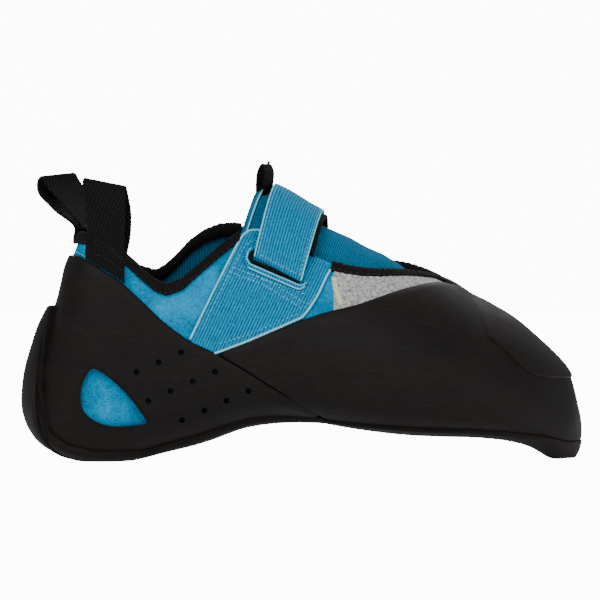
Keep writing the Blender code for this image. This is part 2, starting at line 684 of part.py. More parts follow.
def make_toe_cap(finish):
    """A thin rubber patch over the toe rand."""
    crossing = 3 + CAP_START
    s = columns(crossing, 7 - crossing)
    inside = 2 * FIT_GAP + RAND_THICKNESS
    bottom = tilt_where(s, CAP_SEAM, distance=inside)
    skin("toe_cap", s, np.full(len(s), 90.0), bottom, inside, inside + TOE_CAP_THICKNESS, finish)


def make_vamp_panels(finish):
    for name, inner in (("vamp_panel_outer", False), ("vamp_panel_inner", True)):
        s = columns(*sorted(column_at(np.array(PANEL_RANGE), inner)))
        slant = np.interp(share_of(s), [r[0] for r in PANEL_SLANT], [r[1] for r in PANEL_SLANT])
        top = drop(s, np.minimum(topline(s), 88.0), (BINDING_DEPTH + SEAM_GAP) * slant)
        bottom = drop(s, rand_top(s), -2 * SEAM_GAP)
        skin(name, s, top, np.minimum(bottom, top - 1.2), FIT_GAP, FIT_GAP + PANEL_THICKNESS, finish)


def make_strap_bases(finish):
    """The woven pieces that carry the strap, one on each side."""
    for name, inner in (("strap_base_outer", False), ("strap_base_inner", True)):
        s = columns(*sorted(column_at(np.array(BASE_RANGE), inner)))
        share = share_of(s)
        top = np.minimum(tilt_where(s, BASE_TOP), drop(s, topline(s), SEAM_GAP))
        rubber = tilt_where(s, HEEL_TOP, distance=FIT_GAP + RAND_THICKNESS)
        rubber = np.where(share < RAND_TOP[0][0], rubber, rand_top(s))
        bottom = np.maximum(tilt_where(s, BASE_BOTTOM), drop(s, rubber, -2 * SEAM_GAP))
        skin(name, s, top, bottom, FIT_GAP, FIT_GAP + BASE_THICKNESS, finish)


def grid_solid(name, layers, finish):
    """A closed solid from two like grids of points."""
    count, width = layers[0].shape[:2]
    size = count * width

    def index(layer, i, j):
        return layer * size + i * width + j

    faces = []
    for i in range(count - 1):
        for j in range(width - 1):
            corners = ((i, j), (i + 1, j), (i + 1, j + 1), (i, j + 1))
            faces.append([index(0, *c) for c in corners])
            faces.append([index(1, *c) for c in reversed(corners)])
        for j in (0, width - 1):
            faces.append([index(0, i, j), index(0, i + 1, j), index(1, i + 1, j), index(1, i, j)])
    for j in range(width - 1):
        for i in (0, count - 1):
            faces.append([index(0, i, j), index(0, i, j + 1), index(1, i, j + 1), index(1, i, j)])
    return solid(name, np.concatenate([layer.reshape(-1, 3) for layer in layers]), faces, finish)


def band(name, grid, thickness, finish):
    """A solid of even thickness about a grid of points."""
    along, across = np.gradient(grid, axis=0), np.gradient(grid, axis=1)
    normal = np.cross(along, across)
    normal /= np.linalg.norm(normal, axis=-1, keepdims=True)
    return grid_solid(name, [grid + normal * thickness / 2, grid - normal * thickness / 2], finish)


def across_ridge(share, degrees):
    """Column and tilt at an angle from the ridge, below 0 on the outer side."""
    share, degrees = np.broadcast_arrays(np.asarray(share, float), np.asarray(degrees, float))
    return np.where(degrees > 0, column_at(share, True), column_at(share, False)), 90 - np.abs(degrees)


def throat_degrees(share):
    return np.interp(share, [r[0] for r in THROAT], [r[1] for r in THROAT])


def make_tongue(finish):
    """The tongue lies under the edges of the throat and swells up between them."""
    shares = np.linspace(*TONGUE_RANGE, 12)
    reach = np.interp(shares, [r[0] for r in TONGUE_REACH], [r[1] for r in TONGUE_REACH])[:, None]
    opening = np.minimum(np.maximum(throat_degrees(shares)[:, None], reach * 0.3), reach * 0.9)
    half = opening * np.array(TONGUE_ROWS)
    across = np.concatenate([-reach, -half[:, ::-1], np.zeros_like(reach), half, reach], axis=1)
    points, normals = surface(*across_ridge(shares[:, None], across))
    swell = np.interp(shares, [r[0] for r in TONGUE_SWELL], [r[1] for r in TONGUE_SWELL])[:, None]
    free = np.maximum(opening - TONGUE_SIDE, 1.0)
    rise = swell * np.clip(1 - (across / free) ** 2, 0, 1) ** 1.2
    outer = points + normals * (rise - TONGUE_DROP)[..., None]
    inner = points + normals * (rise - TONGUE_DROP - TONGUE_THICKNESS)[..., None]
    grid_solid("tongue", [outer, inner], finish)


def strap_height(v):
    """Distance of the strap's lower face from the last along its way from foot to foot, v from 0 to 2."""
    low = 2 * FIT_GAP + BASE_THICKNESS
    ramp = np.clip(np.minimum(v, 2 - v) / STRAP_RAMP, 0, 1)
    return low + (LINING_THICKNESS + FIT_GAP) * ramp + STRAP_RISE * np.sin(math.pi * np.clip(v / 2, 0, 1)) ** STRAP_CROWN


def strap_points(rows, across, distance, start=0.0, shift=(0.0, 0.0)):
    """Points along the strap from its foot on the outer side to its foot on the inner side.

    shift moves the strap's back and front edges along the shoe."""
    w = np.linspace(0, 1, across + 1)
    moved = shift[0] * (1 - w) + shift[1] * w
    grid = []
    for v in np.linspace(start, 2 - start, rows + 1):
        foot = STRAP_INNER_FOOT if v > 1 else STRAP_FOOT
        share = 2 - v if v > 1 else v
        along = np.array([np.interp(u, [0, 1], [p[0] for p in foot]) for u in w])
        up = np.array([np.interp(u, [0, 1], [p[1] for p in foot]) for u in w])
        ridge = np.interp(w, [0, 1], STRAP_RIDGE)
        low = [
            tilt_where([column_at(a, v > 1)], ((0, z), (1, z)))[0] for a, z in zip(along + moved, up)
        ]
        place_now = (along * (1 - share) + ridge * share) + moved
        tilt = np.array(low) * (1 - share) + 90 * share
        points, normals = surface(column_at(place_now, v > 1), tilt)
        grid.append(points + normals * distance(v))
    return np.array(grid)


def make_strap(finish, lining_finish):
    grid_solid(
        "strap",
        [
            strap_points(18, 3, strap_height),
            strap_points(18, 3, lambda v: strap_height(v) + STRAP_THICKNESS),
        ],
        finish,
    )
    grid_solid(
        "strap_lining",
        [
            strap_points(12, 3, lambda v: strap_height(v) - FIT_GAP - LINING_THICKNESS, LINING_START, LINING_SHIFT),
            strap_points(12, 3, lambda v: strap_height(v) - FIT_GAP, LINING_START, LINING_SHIFT),
        ],
        lining_finish,
    )


def binding(name, rings, finish):
    """Folded edging about an edge of the upper, from the points and normals of its skirt, hem and rim."""
    (skirt, skirt_out), (hem, hem_out), (rim, rim_out) = rings
    far, near = BINDING_GAP + BINDING_THICKNESS, BINDING_GAP
    under_near, under_far = -UPPER_WALL - BINDING_GAP, -UPPER_WALL - BINDING_GAP - BINDING_THICKNESS
    profile = (
        skirt + skirt_out * far, rim + rim_out * far * RIM_OUTSIDE, rim + rim_out * under_far * RIM_INSIDE,
        skirt + skirt_out * under_far, skirt + skirt_out * under_near, hem + hem_out * under_near,
        hem + hem_out * near, skirt + skirt_out * near,
    )
    grid = np.stack(profile, axis=1)
    count, sides = grid.shape[:2]
    faces = []
    for i in range(count - 1):
        a, b = i * sides, (i + 1) * sides
        faces += [[a + k, a + (k + 1) % sides, b + (k + 1) % sides, b + k] for k in range(sides)]
    for i in (0, count - 1):
        a = i * sides
        faces += [[a, a + 1, a + 6, a + 7], [a + 1, a + 2, a + 5, a + 6], [a + 2, a + 3, a + 4, a + 5]]
    return solid(name, grid.reshape(-1, 3), faces, finish)


def make_collar_binding(finish):
    s = round_heel(COLLAR_END)
    edge = topline(s)
    tilts = drop(s, edge, BINDING_DEPTH), drop(s, edge, -FIT_GAP), drop(s, edge, -FIT_GAP - BINDING_THICKNESS)
    binding("collar_binding", [surface(s, tilt) for tilt in tilts], finish)


def make_throat_binding(finish):
    """Edging round the throat, moved square to its edge in the flat pattern of the instep."""
    shares = share_of(columns(column_at(THROAT[-1][0], False), column_at(THROAT_START, False)))[::-1]
    degrees = throat_degrees(shares)
    shares = np.concatenate([shares, shares[-2::-1]])
    degrees = np.concatenate([-degrees, degrees[-2::-1]])
    here, _ = surface(*across_ridge(shares, degrees))
    beside, _ = surface(*across_ridge(shares, degrees + np.where(degrees > 0, 1.0, -1.0)))
    per_degree = np.linalg.norm(beside - here, axis=1)
    run = np.stack([np.gradient(shares) * SHOE_LENGTH, np.gradient(degrees) * per_degree], axis=1)
    run /= np.linalg.norm(run, axis=1, keepdims=True)
    rings = []
    for distance in (BINDING_DEPTH, -FIT_GAP, -FIT_GAP - BINDING_THICKNESS):
        moved = shares + run[:, 1] * distance / SHOE_LENGTH
        turned = degrees - run[:, 0] * distance / per_degree
        rings.append(surface(*across_ridge(moved, turned)))
    binding("throat_binding", rings, finish)


def make_heel_loop(name, centre, lean, height, bulge, finish):
    """A loop of webbing that holds the collar edge between its legs: down outside, up, over and down inside."""
    near = centre + np.linspace(-0.3, 0.3, 61)
    steps = np.linalg.norm(np.diff(surface(near, topline(near))[0], axis=0), axis=1)
    run = np.concatenate([[0], np.cumsum(steps)])
    s = np.interp(run[30] + LOOP_WIDTH * np.linspace(-0.5, 0.5, 5), run, near)
    edge = topline(s)
    outside = BINDING_GAP + BINDING_THICKNESS + LOOP_GAP + WEBBING_THICKNESS / 2
    inside = -UPPER_WALL - BINDING_GAP - BINDING_THICKNESS - LOOP_GAP - WEBBING_THICKNESS / 2
    rows = []
    for down in LOOP_OUTSIDE:
        base, normal = surface(s, drop(s, edge, down))
        rows.append(base + normal * outside)
    over_out, normal = surface(s, drop(s, edge, -2 * BINDING_THICKNESS))
    over_in = over_out + normal * inside
    over_out = over_out + normal * outside
    across = (over_out[-1] - over_out[0]) / np.linalg.norm(over_out[-1] - over_out[0])
    spread = across * (LOOP_WIDTH * np.linspace(-0.5, 0.5, 5))[:, None]
    facing = normal.mean(axis=0)
    lean = np.array(lean)

    def raised(start, up, side):
        """A flat row of the free part of the loop."""
        flat = start.mean(axis=0) + spread + facing * side * bulge * math.sin(math.pi * up)
        shape = min(1.0, up / LOOP_RISES[0])
        return start * (1 - shape) + flat * shape + lean * up**1.3 + [0, 0, height * up]

    for up in LOOP_RISES:
        rows.append(raised(over_out, up, 1))
    fold = facing * LOOP_FOLD
    rows.append(rows[-1] - fold * 0.5 + [0, 0, LOOP_FOLD * 0.5])
    rows.append(rows[-2] - fold)
    for up in LOOP_RISES[-2::-1]:
        rows.append(raised(over_in, up, -1))
    for down in LOOP_INSIDE:
        base, normal_in = surface(s, drop(s, edge, down))
        rows.append(base + normal_in * inside)
    band(name, np.array(rows), WEBBING_THICKNESS, finish)


def make_tongue_loop(finish):
    """A small tab of folded webbing that stands on the top of the tongue."""
    top, facing = surface(*across_ridge(TAB_PLACE, 0.0))
    origin = top + facing * (TONGUE_SWELL[0][1] - TONGUE_DROP) + [0, 0, TAB_SEAT]
    turn = math.radians(TAB_TURN)
    side = np.array([math.sin(turn), math.cos(turn), 0.0]) * TAB_WIDTH
    front = np.array([math.cos(turn), -math.sin(turn), 0.0])
    rows = []
    for forward, up in TAB_PATH:
        point = origin + front * forward + [TAB_LEAN * up, 0, TAB_HEIGHT * up]
        rows.append([point - side / 2, point, point + side / 2])
    band("tongue_loop", np.array(rows), WEBBING_THICKNESS * 0.8, finish)


def main():
    global LAST
    clear_scene()
    LAST = Last()
    blue = material("blue_suede", (0.02, 0.35, 0.62), 0.9)
    rubber = material("black_rubber", (0.012, 0.010, 0.009), 0.6)
    woven = material("blue_woven", (0.02, 0.30, 0.55), 0.7)
    grey = material("grey_suede", (0.42, 0.40, 0.39), 0.95)
    black = material("black_webbing", (0.01, 0.01, 0.01), 0.8)
    board = material("insole_board", (0.35, 0.33, 0.30), 0.8)
    make_upper(blue)
    make_insole(board)
    make_outsole(rubber)
    make_heel_sole(rubber)
    make_toe_rand(rubber)
    make_heel_rand(rubber)
    make_toe_cap(rubber)
    make_vamp_panels(grey)
    make_strap_bases(woven)
    make_tongue(woven)
    make_strap(woven, black)
    make_collar_binding(black)
    make_throat_binding(black)
    make_heel_loop("heel_loop_outer", OUTER_LOOP_PLACE, OUTER_LOOP_LEAN, OUTER_LOOP_HEIGHT, OUTER_LOOP_BULGE, black)
    make_heel_loop("heel_loop_inner", INNER_LOOP_PLACE, INNER_LOOP_LEAN, INNER_LOOP_HEIGHT, INNER_LOOP_BULGE, black)
    make_tongue_loop(black)


if __name__ == "__main__":
    main()
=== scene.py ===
"""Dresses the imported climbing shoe: suede, rubber, woven cloth, webbing, seams and stitches over the CAD frame."""

import math

import bmesh
import bpy
import numpy as np
from bpy.props import FloatProperty, FloatVectorProperty, PointerProperty
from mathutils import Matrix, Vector


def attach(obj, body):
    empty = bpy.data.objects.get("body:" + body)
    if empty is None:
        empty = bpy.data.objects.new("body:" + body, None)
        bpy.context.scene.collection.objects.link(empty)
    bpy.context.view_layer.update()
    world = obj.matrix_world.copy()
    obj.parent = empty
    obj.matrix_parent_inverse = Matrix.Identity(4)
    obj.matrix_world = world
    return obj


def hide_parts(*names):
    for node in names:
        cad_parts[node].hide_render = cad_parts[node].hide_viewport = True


bl_info = {
    "name": "Climbing shoe dressing",
    "version": (1, 0, 0),
    "blender": (4, 5, 0),
    "location": "View3D > Sidebar > Shoe",
    "description": "Builds the visual pieces of a right climbing shoe over its packed solids",
    "category": "Object",
}

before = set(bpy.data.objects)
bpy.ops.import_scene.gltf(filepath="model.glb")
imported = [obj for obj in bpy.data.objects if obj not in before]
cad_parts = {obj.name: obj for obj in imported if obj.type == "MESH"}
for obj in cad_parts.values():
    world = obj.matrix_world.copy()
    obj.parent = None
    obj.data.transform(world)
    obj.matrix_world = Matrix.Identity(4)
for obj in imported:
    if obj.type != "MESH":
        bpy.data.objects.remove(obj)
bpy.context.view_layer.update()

# Sizes of the shoe and of its materials in metres, as in the solids but for the tab
SHOE_LENGTH = 0.250
BALL_WIDTH = 0.092
INSTEP_RISE = 0.1111
UPPER_WALL = 0.0018
INSOLE_THICKNESS = 0.0016
RAND_THICKNESS = 0.0020
SOLE_THICKNESS = 0.0040
ARCH_SOLE_THICKNESS = 0.0033
HEEL_SOLE_THICKNESS = 0.0020
ARCH_HEEL_SOLE_THICKNESS = 0.0013
TOE_CAP_THICKNESS = 0.0008
PANEL_THICKNESS = 0.0009
BASE_THICKNESS = 0.0012
STRAP_THICKNESS = 0.0016
LINING_THICKNESS = 0.0012
TONGUE_THICKNESS = 0.0022
BINDING_THICKNESS = 0.0009
WEBBING_THICKNESS = 0.0012
FIT_GAP = 0.0005
SEAM_GAP = 0.0005
HEEL_SOLE_GAP = 0.0009
LOOP_GAP = 0.0008
BINDING_GAP = 0.0007
BINDING_DEPTH = 0.0046
LOOP_WIDTH = 0.0190
TAB_WIDTH = 0.0092
TAB_HEIGHT = 0.0136
TAB_LEAN = 0.0010
VENT_RADIUS = 0.0013
SOLE_OVERHANG = 0.0003
TONGUE_DROP = 0.0038
STRAP_RISE = 0.0012
RAND_FACE = FIT_GAP + RAND_THICKNESS

HEEL_END = -SHOE_LENGTH / 2 + FIT_GAP + RAND_THICKNESS + HEEL_SOLE_GAP + HEEL_SOLE_THICKNESS
TOE_END = SHOE_LENGTH / 2 - RAND_THICKNESS - FIT_GAP
LAST_LENGTH = TOE_END - HEEL_END
HALF_WIDTH = BALL_WIDTH / 2 - RAND_THICKNESS - FIT_GAP
LAST_FLOOR = SOLE_THICKNESS + FIT_GAP

# Sections of the last. Columns: along as a share of the last's length from the heel; bottom, widest and top level
# as shares of the instep rise; outer edge, inner edge and ridge as shares of the half width; roundness of the
# crown and of the base.
SECTIONS = (
    (0.0000, 0.200, 0.200, 0.200, -0.069, -0.069, -0.069, 2.2, 2.8),
    (0.0058, 0.130, 0.204, 0.319, -0.265, 0.128, -0.069, 2.2, 2.8),
    (0.0165, 0.087, 0.208, 0.399, -0.391, 0.254, -0.069, 2.2, 2.8),
    (0.0288, 0.059, 0.210, 0.479, -0.483, 0.346, -0.069, 2.2, 2.9),
    (0.0477, 0.033, 0.212, 0.563, -0.577, 0.439, -0.069, 2.2, 3.0),
    (0.0757, 0.010, 0.216, 0.789, -0.654, 0.517, -0.069, 2.2, 3.2),
    (0.1168, -0.003, 0.225, 0.969, -0.692, 0.555, -0.069, 2.3, 3.3),
    (0.1660, 0.000, 0.235, 1.023, -0.706, 0.576, -0.069, 2.3, 3.1),
    (0.2360, 0.036, 0.250, 1.050, -0.724, 0.585, -0.066, 2.3, 2.8),
    (0.3100, 0.077, 0.270, 1.060, -0.750, 0.575, -0.060, 2.2, 2.6),
    (0.3800, 0.129, 0.290, 1.040, -0.782, 0.572, -0.050, 2.1, 2.5),
    (0.4377, 0.148, 0.290, 1.000, -0.826, 0.588, -0.020, 2.0, 2.5),
    (0.5090, 0.146, 0.285, 0.912, -0.892, 0.641, 0.050, 2.0, 2.6),
    (0.5820, 0.123, 0.265, 0.840, -0.958, 0.755, 0.110, 2.0, 2.8),
    (0.6720, 0.102, 0.245, 0.747, -1.000, 0.904, 0.190, 2.0, 3.0),
    (0.7460, 0.095, 0.230, 0.675, -0.984, 0.984, 0.260, 2.0, 3.1),
    (0.8200, 0.088, 0.205, 0.571, -0.870, 1.000, 0.330, 2.0, 3.2),
    (0.8740, 0.071, 0.180, 0.501, -0.700, 0.973, 0.380, 2.1, 3.3),
    (0.9190, 0.038, 0.150, 0.420, -0.480, 0.915, 0.420, 2.1, 3.4),
    (0.9520, -0.006, 0.112, 0.353, -0.265, 0.850, 0.440, 2.1, 3.4),
    (0.9765, -0.016, 0.084, 0.290, -0.060, 0.767, 0.450, 2.1, 3.2),
    (0.9914, -0.004, 0.074, 0.180, 0.150, 0.680, 0.450, 2.1, 3.0),
    (1.0000, 0.070, 0.070, 0.070, 0.440, 0.440, 0.440, 2.1, 3.0),
)

SIDES = (("outer", False), ("inner", True))

# Seam lines in the side view. Those of the rands, strap bases and inner collar were measured again after the solids
# were made and lie up to 8 mm from theirs. Columns: along as a share of the shoe's length from the heel, up as a share of the
# instep rise above the floor.
OUTER_TOPLINE = (
    (0.000, 0.902), (0.090, 0.902), (0.125, 0.892), (0.160, 0.862), (0.190, 0.812), (0.216, 0.758),
    (0.240, 0.712), (0.262, 0.693), (0.290, 0.716), (0.317, 0.772), (0.353, 0.842), (0.380, 0.890),
    (0.405, 0.915), (0.430, 0.912), (0.458, 0.885), (0.500, 0.833), (0.545, 0.788), (0.594, 0.757),
    (0.640, 0.748), (0.690, 0.742), (0.722, 0.735), (0.744, 0.726), (0.753, 0.722),
)
INNER_TOPLINE = (
    (0.000, 0.902), (0.090, 0.902), (0.125, 0.897), (0.160, 0.862), (0.186, 0.800), (0.205, 0.762),
    (0.233, 0.744), (0.249, 0.764), (0.267, 0.800), (0.294, 0.864), (0.321, 0.908), (0.348, 0.931),
    (0.375, 0.936), (0.405, 0.926), (0.430, 0.912), (0.470, 0.880), (0.520, 0.836), (0.594, 0.782),
    (0.660, 0.752), (0.722, 0.737), (0.744, 0.727), (0.753, 0.722),
)
RAND_TOP = (
    (0.347, 0.433), (0.385, 0.465), (0.424, 0.500), (0.460, 0.533), (0.498, 0.569), (0.530, 0.594),
    (0.562, 0.613), (0.590, 0.628), (0.620, 0.651), (0.650, 0.675), (0.682, 0.697), (0.715, 0.705),
    (0.748, 0.694), (0.768, 0.684),
)
HEEL_SEAM = ((0.347, 0.433), (0.397, 0.368), (0.446, 0.297), (0.538, 0.170))
HEEL_TOP = (
    (0.000, 0.820), (0.085, 0.820), (0.101, 0.816), (0.129, 0.788), (0.181, 0.716), (0.219, 0.637),
    (0.255, 0.557), (0.300, 0.481), (0.347, 0.433),
)
SOLE_LINE = (
    (0.538, 0.170), (0.600, 0.156), (0.700, 0.141), (0.780, 0.135), (0.850, 0.122), (0.920, 0.098),
    (0.965, 0.070), (1.000, 0.066),
)
HEEL_SOLE_LINE = (
    (0.000, 0.240), (0.027, 0.237), (0.043, 0.136), (0.087, 0.064), (0.140, 0.038), (0.220, 0.040),
    (0.260, 0.068), (0.320, 0.104), (0.363, 0.138), (0.408, 0.166), (0.438, 0.175), (0.472, 0.174),
    (0.538, 0.166),
)
CAP_SEAM = (
    (0.812, 0.512), (0.845, 0.455), (0.872, 0.392), (0.900, 0.345), (0.935, 0.328), (0.968, 0.322),
    (1.000, 0.318),
)
PANEL_RANGE = (0.550, 0.756)
PANEL_SLANT = ((0.60, 1.0), (0.66, 1.3), (0.72, 1.6))
BASE_TOP = (
    (0.296, 0.462), (0.303, 0.489), (0.330, 0.613), (0.360, 0.750), (0.385, 0.862), (0.394, 0.893),
    (0.404, 0.908), (0.418, 0.911), (0.430, 0.906), (0.458, 0.878), (0.500, 0.828), (0.527, 0.796),
    (0.538, 0.776), (0.545, 0.752),
)
BASE_BOTTOM = (
    (0.296, 0.446), (0.320, 0.440), (0.347, 0.430), (0.400, 0.474), (0.450, 0.522), (0.497, 0.568),
    (0.510, 0.604), (0.524, 0.655), (0.536, 0.715), (0.545, 0.750),
)
WINDOW = (
    (0.131, 0.373), (0.117, 0.327), (0.111, 0.269), (0.114, 0.218), (0.127, 0.180), (0.148, 0.154),
    (0.174, 0.143), (0.202, 0.146), (0.229, 0.158), (0.215, 0.216), (0.195, 0.274), (0.170, 0.328),
    (0.147, 0.365),
)
# Rows of vents. Columns: along and up of the first vent, number of vents; the rest follow by VENT_STEP.
VENT_ROWS = ((0.2872, 0.436, 3), (0.3460, 0.362, 4), (0.4040, 0.287, 4))
VENT_STEP = (-0.0385, -0.0385)
# Distance from the last of the thin dark discs that paint the shade at the bottoms of the vents
VENT_SHADE_LEVEL = 0.0009

# Half of the throat's opening as degrees from the ridge. Columns: along, degrees.
THROAT = (
    (0.420, 18.0), (0.460, 19.5), (0.500, 23.0), (0.545, 27.0), (0.575, 28.5), (0.600, 28.5), (0.628, 26.5),
    (0.660, 21.0), (0.690, 14.0), (0.708, 9.5), (0.722, 5.0), (0.735, 0.0),
)
THROAT_BLEND = (0.500, 0.545)
THROAT_START = 0.548
COLLAR_END = 0.388
RAND_CROSSING = ((0.660, 46.0), (0.690, 34.0), (0.722, 23.5), (0.748, 12.5), (0.760, 6.5), (0.768, 0.0))
RAND_BLEND = (0.670, 0.725)
BASE_RANGE = (0.303, 0.5445)
# Where along the shoe the strap base's upper fold ends and its lower hem starts
FOLD_END = 0.470
HEM_START = 0.345
CAP_START = 0.06
# Where the toe cap thins out backwards, along the shoe
CAP_FADE = (0.0735, 0.0810)

# The climb of the heel sole up the back of the heel: half its width in degrees and its top level
BACK_WRAP = 36.0
BACK_WRAP_TOP = 0.615

# How far down the surface faces where the upper's hem and the footbed's edge lie
BASE_FACING = 0.85
FOOTBED_FACING = 0.78
# Where along the shoe the heel sole starts to thin out, where it is thin, and where the forefoot's sole is full
FULL_HEEL_SOLE = 0.30
THIN_HEEL_SOLE = 0.47
FULL_SOLE = 0.70

# Corners of the strap: back and front edge at its foot on the outer side, on the ridge and on the inner side
STRAP_FOOT = ((0.412, 0.800), (0.494, 0.700))
STRAP_RIDGE = (0.439, 0.522)
STRAP_INNER_FOOT = ((0.470, 0.690), (0.550, 0.635))
LINING_SHIFT = (0.004, 0.010)
LINING_START = 1 / 3
STRAP_RAMP = 0.3
STRAP_CROWN = 0.8

# The tongue. Columns: along, and its reach from the ridge in degrees or its swell between the throat's edges
TONGUE_RANGE = (0.422, 0.772)
TONGUE_REACH = ((0.422, 24.0), (0.470, 34.0), (0.540, 42.0), (0.620, 42.0), (0.700, 30.0), (0.772, 16.0))
TONGUE_SWELL = (
    (0.422, 0.0046), (0.540, 0.0038), (0.600, 0.0035), (0.640, 0.0036), (0.670, 0.0028), (0.700, 0.0005),
    (0.772, 0.0),
)
TONGUE_SIDE = 3.5
# How far the top of the tongue slopes back at its sides, as a share of the shoe's length
TONGUE_BACK = 0.034
TAB_PLACE = 0.430
TAB_SEAT = -0.0010
TAB_TURN = 25.0
# Its side view from leg to leg. Columns: forward, share of its height
TAB_PATH = (
    (-0.0022, 0.0), (-0.0026, 0.4), (-0.0020, 0.85), (-0.0006, 1.0), (0.0008, 0.85), (0.0012, 0.4), (0.0008, 0.0),
)

# The heel loops: place of the middle, lean at the top, height above the edge, and depths of both legs below it
OUTER_LOOP_PLACE = 0.986
OUTER_LOOP_LEAN = (-0.0010, 0.0010, 0.0)
OUTER_LOOP_HEIGHT = 0.0235
OUTER_LOOP_BULGE = 0.0020
INNER_LOOP_PLACE = 1.74
INNER_LOOP_LEAN = (-0.0136, 0.0080, 0.0)
INNER_LOOP_HEIGHT = 0.0230
INNER_LOOP_BULGE = 0.0040
LOOP_INSIDE = (0.0, 0.0070, 0.0140)
LOOP_RISES = (0.3, 0.72, 1.0)
LOOP_FOLD = 0.0026

# Axes of the fans of columns round the toe and the heel, as shares of the last, and the height of their origins
TOE_AXIS = 0.792
HEEL_AXIS = 0.133
HEART = 0.375


def along_shoe(share):
    """x of a share of the shoe's length from the heel."""
    return (np.asarray(share) - 0.5) * SHOE_LENGTH


def along_last(share):
    """x of a share of the last's length from its heel."""
    return HEEL_END + np.asarray(share) * LAST_LENGTH


def level(share):
    """z of a share of the instep rise above the floor."""
    return np.asarray(share) * INSTEP_RISE


def line_level(line, x):
    """z of a seam line at x."""
    return np.interp(x, along_shoe([row[0] for row in line]), level([row[1] for row in line]))


def run_along(points, axis=0):
    """Length from the first point to each other one, along a path or along one way of a grid."""
    steps = np.linalg.norm(np.diff(points, axis=axis), axis=-1)
    return np.concatenate([np.zeros_like(np.take(steps, [0], axis=axis)), np.cumsum(steps, axis=axis)], axis=axis)


def hermite(t, width, start, end, start_slope, end_slope):
    """Values between two that leave and arrive along the given slopes."""
    return (
        (2 * t**3 - 3 * t**2 + 1) * start
        + (t**3 - 2 * t**2 + t) * width * start_slope
        + (3 * t**2 - 2 * t**3) * end
        + (t**3 - t**2) * width * end_slope
    )


def eased(share):
    """A share that starts and ends gently."""
    return share * share * (3 - 2 * share)


def unit(vectors):
    return vectors / np.linalg.norm(vectors, axis=-1, keepdims=True)


class Last:
    """The outer surface of the upper, from the sections across the foot."""

    COLUMNS = ("x", "bottom", "widest", "top", "outer", "inner", "ridge", "crown", "base")
    SWAPPED = (0, 3, 2, 1, 5, 4, 6, 7, 8)
    SAMPLES = 60

    def __init__(self):
        rows = np.array(SECTIONS, float)
        rows[:, 0] = along_last(rows[:, 0])
        rows[:, 1:4] = LAST_FLOOR + rows[:, 1:4] * INSTEP_RISE
        rows[:, 4:7] *= HALF_WIDTH
        # The section beyond each end is the mirrored one, so that the ends are round.
        rows = np.vstack([rows[1, self.SWAPPED], rows, rows[-2, self.SWAPPED]])
        places = run_along(rows[:, [0, 3, 4, 5]])
        slopes = np.gradient(rows, places, axis=0)
        samples = []
        for i in range(1, len(rows) - 2):
            width = places[i + 1] - places[i]
            t = np.linspace(0, 1, self.SAMPLES, endpoint=i == len(rows) - 3)[:, None]
            samples.append(hermite(t, width, rows[i], rows[i + 1], slopes[i], slopes[i + 1]))
        table = np.vstack(samples)
        table[:, 0] = np.maximum.accumulate(table[:, 0])
        self.table = dict(zip(self.COLUMNS, table.T))

    def at(self, x, column):
        return np.interp(x, self.table["x"], self.table[column])

    def outside(self, points):
        """Above 0 where a point is outside the last."""
        x, y, z = points[..., 0], points[..., 1], points[..., 2]
        rise = z - self.at(x, "widest")
        above = rise >= 0
        reach = np.where(above, self.at(x, "top"), 2 * self.at(x, "widest") - self.at(x, "bottom"))
        reach = np.maximum(reach - self.at(x, "widest"), 1e-7)
        power = np.where(above, self.at(x, "crown"), self.at(x, "base"))
        share = np.abs(rise) / reach
        middle = (self.at(x, "outer") + self.at(x, "inner")) / 2
        half = np.maximum((self.at(x, "inner") - self.at(x, "outer")) / 2, 1e-7)
        lean = np.where(above, np.clip(share, 0, 1) ** 1.5, 0) * (self.at(x, "ridge") - middle)
        found = (np.abs(y - middle - lean) / half) ** power + share**power - 1
        ends = (x < self.table["x"][0]) | (x > self.table["x"][-1])
        return np.where(ends, 1.0, found)

    def reach(self, origins, directions):
        """Points where rays from inside meet the surface."""
        low = np.zeros(origins.shape[:-1])
        high = np.full(origins.shape[:-1], SHOE_LENGTH)
        for _ in range(26):
            half = (low + high) / 2
            out = self.outside(origins + directions * half[..., None]) > 0
            low, high = np.where(out, low, half), np.where(out, half, high)
        return origins + directions * ((low + high) / 2)[..., None]

    def axis_point(self, share):
        x = along_last(share)
        top = self.at(x, "ridge")
        middle = (self.at(x, "outer") + self.at(x, "inner")) / 2
        return np.array([x, (top + middle) / 2, LAST_FLOOR + HEART * INSTEP_RISE])


LAST = Last()


def place(s):
    """Origin and heading of column s. 0 to 1 runs back along the outer side, 1 to 2 round the heel, 2 to 3 forward
    along the inner side and 3 to 4 round the toe."""
    s = np.asarray(s, float) % 4
    toe, heel = LAST.axis_point(TOE_AXIS), LAST.axis_point(HEEL_AXIS)
    share = np.where(s <= 1, s, np.where(s <= 2, 1.0, np.where(s <= 3, 3 - s, 0.0)))
    origin = toe + (heel - toe) * share[..., None]
    stations = np.linspace(HEEL_AXIS, TOE_AXIS, 9)
    origin[..., 1] = np.interp(origin[..., 0], along_last(stations), [LAST.axis_point(a)[1] for a in stations])
    angle = np.where(s <= 1, -90, np.where(s <= 2, -90 - 180 * (s - 1), np.where(s <= 3, 90, 90 - 180 * (s - 3))))
    return origin, np.radians(angle)


